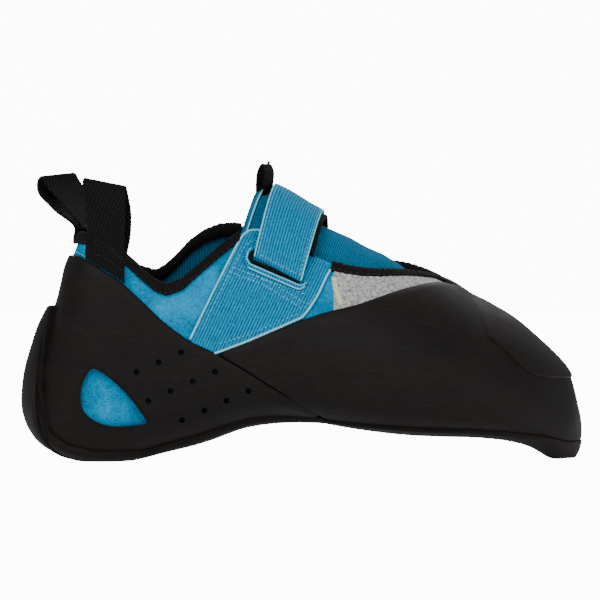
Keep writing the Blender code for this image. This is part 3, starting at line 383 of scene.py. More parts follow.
def surface(s, tilt):
    """Points and outward normals of the last at columns s and tilts from -90 (under the foot) to 90 degrees."""
    s, tilt = np.broadcast_arrays(np.asarray(s, float), np.asarray(tilt, float))
    origin, heading = place(s)
    heading = np.where(np.abs(tilt) > 89.99, 0.0, heading)
    pitch = np.radians(tilt)
    forward = np.stack([np.cos(pitch) * np.cos(heading), np.cos(pitch) * np.sin(heading), np.sin(pitch)], -1)
    side = np.stack([-np.sin(heading), np.cos(heading), np.zeros_like(heading)], -1)
    rise = np.cross(forward, side)
    small = math.radians(0.35)
    across = [LAST.reach(origin, forward + sign * small * side) for sign in (-1, 1)]
    upward = [LAST.reach(origin, forward + sign * small * rise) for sign in (-1, 1)]
    normal = unit(np.cross(across[1] - across[0], upward[1] - upward[0]))
    normal *= np.sign(np.sum(normal * forward, axis=-1, keepdims=True))
    return LAST.reach(origin, forward), normal


def curve_of(table, x):
    """Value of a two-column table at x."""
    return np.interp(x, [row[0] for row in table], [row[1] for row in table])


def column_at(share, inner):
    """Column of the outer or inner side at a share of the shoe's length."""
    toe, heel = along_last(TOE_AXIS), along_last(HEEL_AXIS)
    back = (toe - along_shoe(share)) / (toe - heel)
    return 3 - back if inner else back


TILTS = np.linspace(90, -90, 121)


def tilt_where(s, line, inner_line=None, distance=0.0):
    """Tilt at which each column comes down to a seam line, seen at a distance from the last."""
    s = np.atleast_1d(np.asarray(s, float))
    points, normals = surface(s[:, None], TILTS[None, :])
    points = points + normals * distance
    inner_side = (s % 4 > 1.5) & (s % 4 <= 3.5)
    found = []
    for row, inner in zip(points, inner_side):
        used = inner_line if inner_line is not None and inner else line
        height = row[:, 2] - line_level(used, row[:, 0])
        below = np.nonzero(height <= 0)[0]
        if len(below) == 0:
            found.append(-90.0)
        elif below[0] == 0:
            found.append(90.0)
        else:
            k = below[0]
            share = height[k - 1] / (height[k - 1] - height[k])
            found.append(TILTS[k - 1] + share * (TILTS[k] - TILTS[k - 1]))
    return np.array(found)


def share_of(s):
    """Share of the shoe's length at a column's origin."""
    return place(s)[0][..., 0] / SHOE_LENGTH + 0.5


def snapped(tilt):
    return np.where(tilt > 89.9, 90.0, tilt)


def throat_degrees(share):
    return curve_of(THROAT, share)


def topline(s):
    """Tilt of the collar and throat edge, 90 in front of the throat."""
    share = share_of(s)
    collar = tilt_where(s, OUTER_TOPLINE, INNER_TOPLINE)
    throat = 90 - throat_degrees(share)
    blend = np.interp(share, THROAT_BLEND, [0.0, 1.0])
    return snapped(collar * (1 - blend) + throat * blend)


def per_degree(s, tilt):
    """Length along a column of one degree of tilt."""
    start, _ = surface(s, tilt)
    lower, _ = surface(s, np.asarray(tilt) - 1.0)
    return np.linalg.norm(lower - start, axis=-1)


def drop(s, tilt, distance):
    """Tilts that lie a distance further down each column."""
    return tilt - distance / per_degree(s, tilt)


def across_ridge(share, degrees):
    """Column and tilt at an angle from the ridge, below 0 on the outer side."""
    share, degrees = np.broadcast_arrays(np.asarray(share, float), np.asarray(degrees, float))
    return np.where(degrees > 0, column_at(share, True), column_at(share, False)), 90 - np.abs(degrees)


def base_edge(s, facing):
    """Tilt at which each column faces down enough to be under the foot."""
    tilts = np.linspace(0, -85, 60)
    _, normals = surface(np.asarray(s)[:, None], tilts[None, :])
    return tilts[np.argmax(normals[..., 2] < -facing, axis=1)]


def smooth(values, times=2):
    """Values with their small steps evened out."""
    values = np.array(values, float)
    for _ in range(times):
        values[1:-1] = (values[:-2] + 2 * values[1:-1] + values[2:]) / 4
    return values


def fine_columns(start, end, spacing=0.022):
    """Even columns with both ends, no further apart than the given spacing."""
    count = int(math.ceil((end - start) / spacing))
    return np.linspace(start, end, count + 1)


def round_toe(share):
    return fine_columns(column_at(share, True), 4 + column_at(share, False), 0.020)


def round_heel(share):
    return fine_columns(column_at(share, False), column_at(share, True), 0.020)


def add_object(name, data):
    """A new object in the scene."""
    made = bpy.data.objects.new(name, data)
    bpy.context.scene.collection.objects.link(made)
    return made


def make_piece(name, points, faces, finish, node=None, slot=None, coordinates=None, faces_in=None, lining=None):
    """A finished piece at the origin, with faces out, its cloth coordinates and its place in the frame."""
    mesh = bpy.data.meshes.new(name)
    mesh.from_pydata([tuple(p) for p in points], [], [tuple(f) for f in faces])
    if coordinates is not None:
        layer = mesh.uv_layers.new(name="cloth")
        corners = np.empty(len(mesh.loops), np.int32)
        mesh.loops.foreach_get("vertex_index", corners)
        layer.data.foreach_set("uv", np.asarray(coordinates, float)[corners].ravel())
    if faces_in is not None:
        mesh.polygons.foreach_set("material_index", np.asarray(faces_in, np.int32))
    work = bmesh.new()
    work.from_mesh(mesh)
    bmesh.ops.remove_doubles(work, verts=work.verts, dist=1e-5)
    bmesh.ops.dissolve_degenerate(work, edges=work.edges, dist=1e-6)
    bmesh.ops.recalc_face_normals(work, faces=work.faces)
    work.to_mesh(mesh)
    work.free()
    mesh.shade_smooth()
    mesh.set_sharp_from_angle(angle=math.radians(50))
    mesh.materials.append(finish)
    if lining is not None:
        mesh.materials.append(lining)
    return join_frame(add_object(name, mesh), node)


def join_frame(piece, node=None):
    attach(piece, "root")
    if node:
        for one in [node] if isinstance(node, str) else node:
            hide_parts(one)
    return piece


def rounded(distance, radius):
    """Share of the full height at a distance in from a rounded edge."""
    inward = np.clip(distance / radius, 0, 1)
    return np.sqrt(np.clip(1 - (1 - inward) ** 2, 0, 1))


# Distances of the first rows from an open edge, and how near to the middle of the foot a tilt counts as on it
EDGE_STEPS = np.array([0.0, 0.00008, 0.00025, 0.0005, 0.0009, 0.0016, 0.0028])
POLE = 0.01


def skin(name, s, upper, lower, inside, outside, finish, rows=48, loop=False, floor=False, radius=0.0006, taper=0.0,
         taper_reach=0.006, closed=(False, False), ends=(True, True), relief=None, **facts):
    """A piece of sheet on the last with rounded edges, between two distances from it.

    closed names edges that are the middle of the foot. taper thins the piece by a share towards its upper edge."""
    s = np.asarray(s, float)
    upper, lower = np.broadcast_to(upper, s.shape), np.broadcast_to(lower, s.shape)
    # The rows next to an open edge stand at fixed distances from it.
    span = np.maximum(upper - lower, 0.4)
    plain = np.linspace(0, 0.04, len(EDGE_STEPS))
    open_top, open_low = upper < 90 - POLE, lower > POLE - 90
    if closed[0]:
        open_top = np.zeros(s.shape, bool)
    if closed[1]:
        open_low = np.zeros(s.shape, bool)
    edge_shares = []
    for at, is_open in ((np.minimum(upper, 88.0), open_top), (lower + 1.0, open_low)):
        fixed = EDGE_STEPS[None, :] / per_degree(s, at)[:, None] / span[:, None]
        fixed = np.minimum(fixed, 0.06 * EDGE_STEPS / EDGE_STEPS[-1] + 0.3)
        edge_shares.append(np.where(is_open[:, None], fixed, plain))
    top_share, low_share = edge_shares
    middle = np.linspace(0, 1, rows + 1)[None, 1:-1]
    start, end = top_share[:, -1:], 1 - low_share[:, -1:]
    shares = np.concatenate([top_share, start + (end - start) * middle, 1 - low_share[:, ::-1]], axis=1)
    tilts = upper[:, None] + (lower - upper)[:, None] * shares
    grid_s = np.broadcast_to(s[:, None], tilts.shape)
    base, normals = surface(grid_s, tilts)
    down, along = run_along(base, 1), run_along(base, 0)
    from_top = np.where(open_top[:, None], down, 1.0)
    from_low = np.where(open_low[:, None], down[:, -1:] - down, 1.0)
    edge = np.minimum(from_top, from_low)
    if not loop:
        if ends[0]:
            edge = np.minimum(edge, along)
        if ends[1]:
            edge = np.minimum(edge, along[-1:] - along)
    height = outside(grid_s, tilts, normals, base) if callable(outside) else np.full(tilts.shape, float(outside))
    thick = height - inside
    if taper:
        thick = thick * (1 - taper * (1 - np.clip(from_top / taper_reach, 0, 1)) ** 2)
    outer_rise = inside + thick * rounded(edge, radius)
    if relief is not None:
        outer_rise = outer_rise + relief(base, normals, from_top, edge)
    outer = base + normals * outer_rise[..., None]
    inner = base + normals * inside
    if floor:
        outer[..., 2] = np.maximum(outer[..., 2], 0.0)
        inner[..., 2] = np.maximum(inner[..., 2], 0.0002)
    joined = {0: upper > 90 - POLE, -1: lower < POLE - 90}
    return grid_piece(name, outer, inner, finish, loop, coordinates=cloth_map(base), joined=joined, **facts)


def cloth_map(base):
    """Cloth coordinates in metres: along the shoe and up, as the side view shows them."""
    return np.stack([base[..., 0], base[..., 2]], axis=-1)


def grid_piece(name, outer, inner, finish, loop=False, coordinates=None, finish_inside=None, joined=None, **facts):
    """A closed piece from two like grids of points. joined says for each column whether its first and its last row
    lie on the middle of the foot, where the two sides meet without a wall."""
    count, width = outer.shape[:2]
    size = count * width
    index = np.arange(size).reshape(count, width)
    if loop:
        nexts = np.roll(index, -1, axis=0)
        here = index
    else:
        nexts, here = index[1:], index[:-1]
    a, b, c, d = here[:, :-1], nexts[:, :-1], nexts[:, 1:], here[:, 1:]
    outer_faces = np.stack([a, b, c, d], -1).reshape(-1, 4)
    inner_faces = np.stack([a, d, c, b], -1).reshape(-1, 4) + size
    walls = []
    for k in (0, -1):
        wall = np.stack([here[:, k], nexts[:, k], nexts[:, k] + size, here[:, k] + size], -1)
        if joined is not None:
            met = joined[k]
            wall = wall[~(met & np.roll(met, -1))[:len(wall)]]
        walls.append(wall)
    if not loop:
        walls += [
            np.stack([index[k, :-1], index[k, 1:], index[k, 1:] + size, index[k, :-1] + size], -1) for k in (0, -1)
        ]
    faces = np.concatenate([outer_faces, inner_faces] + walls)
    points = np.concatenate([outer.reshape(-1, 3), inner.reshape(-1, 3)])
    if coordinates is not None:
        coordinates = np.concatenate([coordinates.reshape(-1, 2)] * 2)
    faces_in = None
    if finish_inside is not None:
        faces_in = np.zeros(len(faces), np.int32)
        faces_in[len(outer_faces):len(outer_faces) + len(inner_faces)] = 1
    return make_piece(name, points, faces, finish, coordinates=coordinates, faces_in=faces_in,
                      lining=finish_inside, **facts)


# A direction that no cord runs in
ASLANT = (0.13, 0.21, 0.97)


def tube(name, path, radius, finish, closed=False, sides=8, **facts):
    """A round cord along a path of points."""
    path = np.asarray(path, float)
    ahead = np.roll(path, -1, axis=0) - np.roll(path, 1, axis=0)
    if not closed:
        ahead[0], ahead[-1] = path[1] - path[0], path[-1] - path[-2]
    ahead = unit(ahead)
    side = unit(np.cross(ahead, ASLANT))
    rise = np.cross(side, ahead)
    angle = np.linspace(0, 2 * math.pi, sides, endpoint=False)
    radius = np.broadcast_to(radius, len(path))[:, None, None]
    cos, sin = np.cos(angle)[None, :, None], np.sin(angle)[None, :, None]
    points = (path[:, None] + radius * (side[:, None] * cos + rise[:, None] * sin)).reshape(-1, 3)
    faces = []
    count = len(path)
    for i in range(count if closed else count - 1):
        a, b = i * sides, (i + 1) % count * sides
        faces += [(a + k, a + (k + 1) % sides, b + (k + 1) % sides, b + k) for k in range(sides)]
    if not closed:
        faces += [tuple(range(sides)), tuple(range((count - 1) * sides, count * sides))]
    coordinates = np.stack([np.repeat(run_along(path), sides), np.tile(angle * 0.0004, count)], axis=-1)
    return make_piece(name, points, faces, finish, coordinates=coordinates, **facts)


# Finishes. Each is a material of its own, fed by a group for nap and grain or for ribs and threads.


def node(tree, kind, **values):
    """A new node. Names that aren't properties of the node are inputs."""
    made = tree.nodes.new(kind)
    for key, value in values.items():
        if key in made.bl_rna.properties:
            setattr(made, key, value)
        else:
            made.inputs[key.replace("_", " ")].default_value = value
    return made


def math_node(tree, operation, *values, clamp=False):
    """A math node's output. Each value is a number or the socket that it comes from."""
    made = node(tree, "ShaderNodeMath", operation=operation, use_clamp=clamp)
    for socket, value in zip(made.inputs, values):
        if isinstance(value, bpy.types.NodeSocket):
            tree.links.new(value, socket)
        else:
            socket.default_value = value
    return made.outputs[0]


def new_group(name, numbers, outputs, stretch=False):
    """A shader group with two colours, numbers and if wanted a stretch as inputs."""
    tree = bpy.data.node_groups.new(name, "ShaderNodeTree")
    inputs = [("Colour", "NodeSocketColor", (0.5, 0.5, 0.5, 1)), ("Shade", "NodeSocketColor", (0.2, 0.2, 0.2, 1))]
    inputs += [(label, "NodeSocketFloat", value) for label, value in numbers]
    if stretch:
        inputs.append(("Stretch", "NodeSocketVector", (1.0, 1.0, 1.0)))
    for label, kind, value in inputs:
        tree.interface.new_socket(name=label, in_out="INPUT", socket_type=kind).default_value = value
    for label in outputs:
        kind = "NodeSocketColor" if label == "Colour" else "NodeSocketFloat"
        tree.interface.new_socket(name=label, in_out="OUTPUT", socket_type=kind)
    return tree, tree.nodes.new("NodeGroupInput"), tree.nodes.new("NodeGroupOutput")


def mix_tones(tree, given, result, share):
    """Mixes a group's shade and colour by a share."""
    mix = node(tree, "ShaderNodeMix", data_type="RGBA")
    for source, socket in ((share, "Factor"), (given.outputs["Shade"], "A"), (given.outputs["Colour"], "B")):
        tree.links.new(source, mix.inputs[socket])
    tree.links.new(mix.outputs["Result"], result.inputs["Colour"])


def grain_group():
    """Cloudy colour and a fine grain from Object coordinates: nap on suede, dust and marks on rubber."""
    tree, given, result = new_group(
        "grain",
        [("Clouds", 90.0), ("Grain", 2600.0), ("Contrast", 0.5), ("Roughness", 0.9), ("Unevenness", 0.1)],
        ("Colour", "Roughness", "Height"), stretch=True)
    link = tree.links.new
    stretched = node(tree, "ShaderNodeVectorMath", operation="MULTIPLY")
    link(node(tree, "ShaderNodeTexCoord").outputs["Object"], stretched.inputs[0])
    link(given.outputs["Stretch"], stretched.inputs[1])
    noises = []
    for scale, detail, roughness in (("Clouds", 5.0, 0.62), ("Grain", 3.0, 0.75)):
        texture = node(tree, "ShaderNodeTexNoise", Detail=detail, Roughness=roughness)
        link(stretched.outputs[0], texture.inputs["Vector"])
        link(given.outputs[scale], texture.inputs["Scale"])
        noises.append(texture.outputs["Fac"])
    clouds, grain = noises
    contrast = given.outputs["Contrast"]
    both = math_node(tree, "ADD", clouds, grain)
    offset = math_node(tree, "MULTIPLY_ADD", contrast, -1.0, 0.5)
    mix_tones(tree, given, result, math_node(tree, "MULTIPLY_ADD", both, contrast, offset, clamp=True))
    centred = math_node(tree, "SUBTRACT", clouds, 0.5)
    rough = math_node(tree, "MULTIPLY_ADD", centred, given.outputs["Unevenness"], given.outputs["Roughness"])
    link(rough, result.inputs["Roughness"])
    link(grain, result.inputs["Height"])
    return tree


def ribs_group():
    """Cloth with slanted ribs over fine threads, from the piece's cloth coordinates."""
    tree, given, result = new_group(
        "ribs",
        [("Rib spacing", 0.0011), ("Slant", 0.8), ("Thread spacing", 0.00045), ("Depth of colour", 0.8)],
        ("Colour", "Height"))
    link = tree.links.new
    turned = node(tree, "ShaderNodeVectorRotate", rotation_type="Z_AXIS")
    link(node(tree, "ShaderNodeUVMap", uv_map="cloth").outputs[0], turned.inputs["Vector"])
    link(given.outputs["Slant"], turned.inputs["Angle"])
    parts = node(tree, "ShaderNodeSeparateXYZ")
    link(turned.outputs[0], parts.inputs[0])

    def wave(axis, spacing):
        turns = math_node(tree, "DIVIDE", parts.outputs[axis], given.outputs[spacing])
        sine = math_node(tree, "SINE", math_node(tree, "MULTIPLY", turns, 2 * math.pi))
        return math_node(tree, "MULTIPLY_ADD", sine, 0.5, 0.5)

    noise = node(tree, "ShaderNodeTexNoise", Scale=900.0, Detail=3.0)
    link(node(tree, "ShaderNodeTexCoord").outputs["Object"], noise.inputs["Vector"])
    height = math_node(tree, "MULTIPLY_ADD", wave("Y", "Thread spacing"), 0.35, wave("X", "Rib spacing"))
    link(height, result.inputs["Height"])
    mottled = math_node(tree, "MULTIPLY_ADD", noise.outputs["Fac"], 1.4, -0.7)
    light = math_node(tree, "ADD", mottled, height)
    mix_tones(tree, given, result, math_node(tree, "MULTIPLY", light, given.outputs["Depth of colour"], clamp=True))
    return tree


GROUPS = {"grain": grain_group, "ribs": ribs_group}
THREAD = dict(Clouds=900.0, Grain=4000.0, Contrast=0.8, Roughness=0.6, Unevenness=0.1)
THREAD_SURFACE = dict(bump=0.2, specular=0.3)
# Group, the setting that holds the colour or None, the light and the dark tone as shares of that colour or as
# colours, what the group gets and what the surface gets
FINISHES = {
    "blue_suede": (
        "grain", "suede_colour", 1.45, 0.50,
        dict(Clouds=75.0, Grain=1300.0, Contrast=2.0, Roughness=0.95, Unevenness=0.1),
        dict(bump=0.8, sheen=0.02, sheen_tint=(0.0, 0.7, 1.0), specular=0.02)),
    "grey_suede": (
        "grain", "panel_colour", 1.9, 0.40,
        dict(Clouds=700.0, Grain=2200.0, Contrast=2.6, Roughness=0.95, Unevenness=0.1),
        dict(bump=0.5, sheen=0.15, specular=0.1)),
    "rubber": (
        "grain", "rubber_colour", 1.9, 0.45,
        dict(Clouds=60.0, Grain=800.0, Contrast=1.6, Stretch=(0.22, 1.0, 1.6), Roughness=0.62, Unevenness=0.5),
        dict(bump=0.10, specular=0.16, distance=0.0003)),
    # Painted shade for the bottoms of the vents: near black with a little teal
    "vent_shade": (
        "grain", None, (0.003, 0.016, 0.022), (0.001, 0.003, 0.004),
        dict(Clouds=300.0, Grain=1500.0, Contrast=2.0, Roughness=0.8, Unevenness=0.1),
        dict(bump=0.3, specular=0.1)),
    "insole": (
        "grain", None, (0.42, 0.36, 0.28), (0.28, 0.24, 0.19),
        dict(Clouds=60.0, Grain=2000.0, Contrast=1.0, Roughness=0.9, Unevenness=0.1),
        dict(bump=0.3, specular=0.15)),
    "thread": ("grain", "thread_colour", 1.15, 0.8, THREAD, THREAD_SURFACE),
    "whitish_thread": ("grain", None, (0.50, 0.74, 0.80), (0.30, 0.56, 0.66), THREAD, THREAD_SURFACE),
    "cream_thread": ("grain", None, (0.86, 0.88, 0.56), (0.66, 0.68, 0.42), THREAD, THREAD_SURFACE),
    "black_thread": ("grain", None, (0.020, 0.020, 0.022), (0.010, 0.010, 0.011), THREAD, THREAD_SURFACE),
    "blue_cloth": (
        "ribs", "cloth_colour", 1.50, 0.34,
        dict(Rib_spacing=0.00125, Slant=0.44, Thread_spacing=0.0008, Depth_of_colour=0.75),
        dict(bump=0.6, roughness=0.8, sheen=0.03, specular=0.1)),
    "strap_cloth": (
        "ribs", "cloth_colour", 1.50, 0.34,
        dict(Rib_spacing=0.00125, Slant=0.0, Thread_spacing=0.0008, Depth_of_colour=0.75),
        dict(bump=0.6, roughness=0.8, sheen=0.03, specular=0.1)),
    "tongue_cloth": (
        "ribs", "cloth_colour", 0.95, 0.28,
        dict(Rib_spacing=0.0010, Slant=0.0, Thread_spacing=0.0013, Depth_of_colour=0.75),
        dict(bump=0.6, roughness=0.85, sheen=0.02, specular=0.06)),
    # Blue is the lining's own colour; its darker tone, half as light as the blue cloth, is painted shade of the inside
    # of the shoe
    "lining": (
        "ribs", "cloth_colour", 0.75, 0.35,
        dict(Rib_spacing=0.0013, Slant=0.0, Thread_spacing=0.0013, Depth_of_colour=0.8),
        dict(bump=0.5, roughness=0.95, specular=0.05)),
    "pale_edge": (
        "ribs", "thread_colour", 1.5, 0.9,
        dict(Rib_spacing=0.0009, Slant=0.9, Thread_spacing=0.0005, Depth_of_colour=0.9),
        dict(bump=0.5, roughness=0.75, specular=0.2)),
    "webbing": (
        "ribs", None, (0.011, 0.0102, 0.0105), (0.0010, 0.0010, 0.0010),
        dict(Rib_spacing=0.0013, Slant=1.95, Thread_spacing=0.0008, Depth_of_colour=0.7),
        dict(bump=0.8, roughness=0.8, specular=0.12, distance=0.0003)),
    "binding": (
        "ribs", None, (0.020, 0.018, 0.017), (0.0018, 0.0016, 0.0016),
        dict(Rib_spacing=0.0009, Slant=0.25, Thread_spacing=0.0010, Depth_of_colour=0.55),
        dict(bump=0.9, roughness=0.85, specular=0.1)),
}


def finish_of(name):
    """The material of a row in FINISHES, made at its first use."""
    known = bpy.data.materials.get("shoe_" + name)
    if known:
        return known
    group, setting, light, dark, values, looks = FINISHES[name]
    if setting:
        colour = getattr(bpy.context.scene.shoe_dressing, setting)
        light, dark = [[channel * share for channel in colour] for share in (light, dark)]
    made = bpy.data.materials.new("shoe_" + name)
    made.use_nodes = True
    tree = made.node_tree
    shader = tree.nodes["Principled BSDF"]
    for socket, value in (
        ("Roughness", looks.get("roughness", 0.9)), ("Specular IOR Level", looks["specular"]),
        ("Sheen Weight", looks.get("sheen", 0.0)), ("Sheen Tint", (*looks.get("sheen_tint", (1, 1, 1)), 1)),
        ("Sheen Roughness", 0.6),
    ):
        shader.inputs[socket].default_value = value
    pattern = tree.nodes.new("ShaderNodeGroup")
    pattern.node_tree = bpy.data.node_groups.get(group) or GROUPS[group]()
    for key, value in {"Colour": (*light, 1), "Shade": (*dark, 1), **values}.items():
        pattern.inputs[key.replace("_", " ")].default_value = value
    tree.links.new(pattern.outputs["Colour"], shader.inputs["Base Color"])
    if "Roughness" in pattern.outputs:
        tree.links.new(pattern.outputs["Roughness"], shader.inputs["Roughness"])
    relief = tree.nodes.new("ShaderNodeBump")
    relief.inputs["Strength"].default_value = looks["bump"]
    relief.inputs["Distance"].default_value = looks.get("distance", 0.0002)
    tree.links.new(pattern.outputs["Height"], relief.inputs["Height"])
    tree.links.new(relief.outputs["Normal"], shader.inputs["Normal"])
    return made


# Pieces


def cloth_relief(height, scale, seed):
    """Soft unevenness of a sewn sheet, the same on each run."""
    rng = np.random.default_rng(seed)
    waves = rng.normal(0, 1, (14, 3)) * scale
    phases = rng.uniform(0, 2 * math.pi, 14)

    def relief(base, normals, from_top, edge):
        total = np.zeros(base.shape[:2])
        for wave, phase in zip(waves, phases):
            total += np.sin(base @ wave + phase)
        return height * total / math.sqrt(14) * np.clip(edge / 0.003, 0, 1)

    return relief


def build_upper():
    s = np.linspace(0, 4, 281)[:-1]
    edge = topline(s)
    bottom = smooth(base_edge(s, BASE_FACING), 3)
    even = np.linspace(0, 1, 67)
    tilts = edge[:, None] + (bottom - edge)[:, None] * even
    grid_s = np.broadcast_to(s[:, None], tilts.shape)
    base, normals = surface(grid_s, tilts)
    down = run_along(base, 1)
    relief = cloth_relief(0.00016, 210.0, 4)(base, normals, down, down)
    outer = base + normals * relief[..., None]
    inner = base - normals * UPPER_WALL
    coordinates = np.stack([base[..., 0], down], axis=-1)
    joined = {0: edge > 90 - POLE, -1: np.zeros(len(s), bool)}
    grid_piece("suede_upper", outer, inner, finish_of("blue_suede"), loop=True, coordinates=coordinates, joined=joined,
               finish_inside=finish_of("lining"), node="upper", slot="blue_suede")


def build_insole():
    s = np.linspace(0, 4, 221)[:-1]
    top = smooth(base_edge(s, FOOTBED_FACING), 3)
    level_top = -UPPER_WALL - FIT_GAP * 0.2
    skin("footbed", s, top, -90.0, level_top - INSOLE_THICKNESS, level_top, finish_of("insole"), rows=26, loop=True,
         closed=(False, True), node="insole", slot="insole_board")


def sole_offset(grid_s, tilts, normals, base):
    edge = RAND_FACE + SOLE_OVERHANG
    share = base[..., 0] / SHOE_LENGTH + 0.5
    full = FIT_GAP + np.interp(share, [SOLE_LINE[0][0], FULL_SOLE], [ARCH_SOLE_THICKNESS, SOLE_THICKNESS])
    facing = np.clip(-normals[..., 2], 0, 1) ** 1.5
    return edge + (full - edge) * facing


def build_outsole():
    s = round_toe(SOLE_LINE[0][0])
    top = tilt_where(s, SOLE_LINE, distance=RAND_FACE)
    top = smooth(drop(s, top, -0.0005), 2)
    skin("rubber_outsole", s, top, -90.0, 0.0002, sole_offset, finish_of("rubber"), rows=40, floor=True,
         closed=(False, True), radius=0.0006, ends=(False, False), node="outsole", slot="black_rubber")


def heel_sole_edges(s):
    distance = RAND_FACE + HEEL_SOLE_GAP
    side = tilt_where(s, HEEL_SOLE_LINE, distance=distance)
    wrap = tilt_where(s, ((0, BACK_WRAP_TOP), (1, BACK_WRAP_TOP)), distance=distance)
    return side, wrap


def build_heel_sole():
    """The thin sole under heel and arch, with a tongue of rubber that climbs the back of the heel."""
    end = SOLE_LINE[0][0] - 0.2 * SEAM_GAP / SHOE_LENGTH
    s = round_heel(end)
    side, wrap = heel_sole_edges(s)
    middle = np.abs(s - 1.5) * 180
    climb = np.clip((BACK_WRAP + 5 - middle) / 10, 0, 1)
    top = side + (wrap - side) * eased(climb)

    def outside(grid_s, tilts, normals, base):
        share = base[..., 0] / SHOE_LENGTH + 0.5
        full = np.interp(share, [FULL_HEEL_SOLE, THIN_HEEL_SOLE], [HEEL_SOLE_THICKNESS, ARCH_HEEL_SOLE_THICKNESS])
        step = RAND_FACE + HEEL_SOLE_GAP + ARCH_HEEL_SOLE_THICKNESS - FIT_GAP - ARCH_SOLE_THICKNESS
        return RAND_FACE + HEEL_SOLE_GAP + full - np.interp(share, [THIN_HEEL_SOLE, end], [0.0, step])

    skin("heel_sole_rubber", s, top, -90.0, RAND_FACE - 0.0003, outside, finish_of("rubber"), rows=54, floor=True,
         closed=(False, True), radius=0.0022, ends=(False, False), node="heel_sole", slot="black_rubber")


def rand_top(s):
    share = share_of(s)
    edge = tilt_where(s, RAND_TOP, distance=RAND_FACE)
    crossing = 90 - curve_of(RAND_CROSSING, share)
    blend = np.interp(share, RAND_BLEND, [0.0, 1.0])
    return snapped(edge * (1 - blend) + crossing * blend)


def build_toe_rand():
    s = round_toe(RAND_TOP[0][0] + 0.004)
    share = share_of(s)
    behind = share < SOLE_LINE[0][0] - 0.0001
    bottom = np.where(
        behind, tilt_where(s, HEEL_SEAM, distance=RAND_FACE), tilt_where(s, SOLE_LINE, distance=RAND_FACE))
    skin("toe_rand_rubber", s, rand_top(s), bottom, -0.0001, RAND_FACE, finish_of("rubber"), rows=54, taper=0.4,
         radius=0.0007, node="toe_rand", slot="black_rubber")


def side_cutter(name, outlines):
    """One mesh of prisms that pass through one side of the shoe each. Outlines are x, z and the inner side or not."""
    points, faces = [], []
    for x, z, inner in outlines:
        low, high = (HALF_WIDTH * 0.15, BALL_WIDTH) if inner else (-BALL_WIDTH, -HALF_WIDTH * 0.3)
        count, first = len(x), len(points)
        points += [(a, y, b) for y in (low, high) for a, b in zip(x, z)]
        faces += [[first + i for i in range(count)], [first + i for i in range(2 * count - 1, count - 1, -1)]]
        faces += [
            [first + i, first + (i + 1) % count, first + count + (i + 1) % count, first + count + i]
            for i in range(count)
        ]
    mesh = bpy.data.meshes.new(name)
    mesh.from_pydata(points, [], faces)
    work = bmesh.new()
    work.from_mesh(mesh)
    bmesh.ops.recalc_face_normals(work, faces=work.faces)
    work.to_mesh(mesh)
    work.free()
    return add_object(name, mesh)


def window_outline(count=72):
    """The heel window's outline in the side view as a smooth closed curve."""
    corners = np.array([(along_shoe(a), level(b)) for a, b in WINDOW])
    spots = np.linspace(0, len(corners), count, endpoint=False)
    found = []
    for spot in spots:
        i, t = int(spot), spot - int(spot)
        p0, p1, p2, p3 = (corners[(i + k) % len(corners)] for k in (-1, 0, 1, 2))
        found.append(0.5 * (2 * p1 + (p2 - p0) * t + (2 * p0 - 5 * p1 + 4 * p2 - p3) * t**2
                            + (3 * p1 - p0 - 3 * p2 + p3) * t**3))
    return np.array(found)


def vent_places():
    return [
        (along_shoe(along + k * VENT_STEP[0]), level(up + k * VENT_STEP[1]))
        for along, up, count in VENT_ROWS for k in range(count)
    ]


def side_ring(outline, inner, distance):
    """Points on the side of the shoe, at a distance from the last, above an outline in the side view."""
    found = []
    for x, z in outline:
        origin = np.array([x, -0.001, z])
        found.append(LAST.reach(origin, np.array([0.0, 1.0 if inner else -1.0, 0.0])))
    return np.array(found) + np.array([0, distance if inner else -distance, 0])[None, :]


def build_heel_rand():
    s = round_heel(SOLE_LINE[0][0] - 2 * SEAM_GAP / SHOE_LENGTH)
    seam = drop(s, tilt_where(s, HEEL_SEAM, distance=RAND_FACE), -0.0001)
    top = np.where(share_of(s) > HEEL_SEAM[0][0], seam, tilt_where(s, HEEL_TOP, distance=RAND_FACE))
    rand = skin("heel_rand_rubber", s, smooth(top, 1), -90.0, -0.0001, RAND_FACE, finish_of("rubber"), rows=60,
                taper=0.35, closed=(False, True), radius=0.0007, node="heel_rand", slot="black_rubber")
    around = np.linspace(0, 2 * math.pi, 14, endpoint=False)
    outlines = []
    for inner in (False, True):
        x, z = window_outline().T
        outlines.append((x, z, inner))
        for x, z in vent_places():
            outlines.append((x + VENT_RADIUS * np.cos(around), z + VENT_RADIUS * np.sin(around), inner))
    cutter = side_cutter("rand_cutter", outlines)
    modifier = rand.modifiers.new("openings", "BOOLEAN")
    modifier.operation = "DIFFERENCE"
    modifier.solver = "EXACT"
    modifier.object = cutter
    graph = bpy.context.evaluated_depsgraph_get()
    cut_mesh = bpy.data.meshes.new_from_object(rand.evaluated_get(graph))
    rand.modifiers.clear()
    rand.data = cut_mesh
    cut_mesh.shade_smooth()
    cut_mesh.set_sharp_from_angle(angle=math.radians(40))
    bpy.data.objects.remove(cutter)
    # Discs of painted shade inside the vents, on both sides
    points, faces = [], []
    turns = [(math.cos(angle), math.sin(angle)) for angle in np.linspace(0, 2 * math.pi, 12, endpoint=False)]
    for inner in (False, True):
        for x, z in vent_places():
            ring = side_ring([(x + VENT_RADIUS * c, z + VENT_RADIUS * d) for c, d in turns], inner, VENT_SHADE_LEVEL)
            faces.append([len(points) + k for k in range(len(ring))])
            points.extend(ring)
    for side, wanted in (("outer", faces[:len(faces) // 2]), ("inner", faces[len(faces) // 2:])):
        make_vent_shade_discs("vent_shade_" + side, np.array(points), wanted, -1 if side == "outer" else 1)
    for side, inner in SIDES:
        ring = side_ring(window_outline(96), inner, RAND_FACE * 1.04)
        tube("window_rim_" + side, ring, 0.00045, finish_of("rubber"), closed=True, slot="black_rubber")


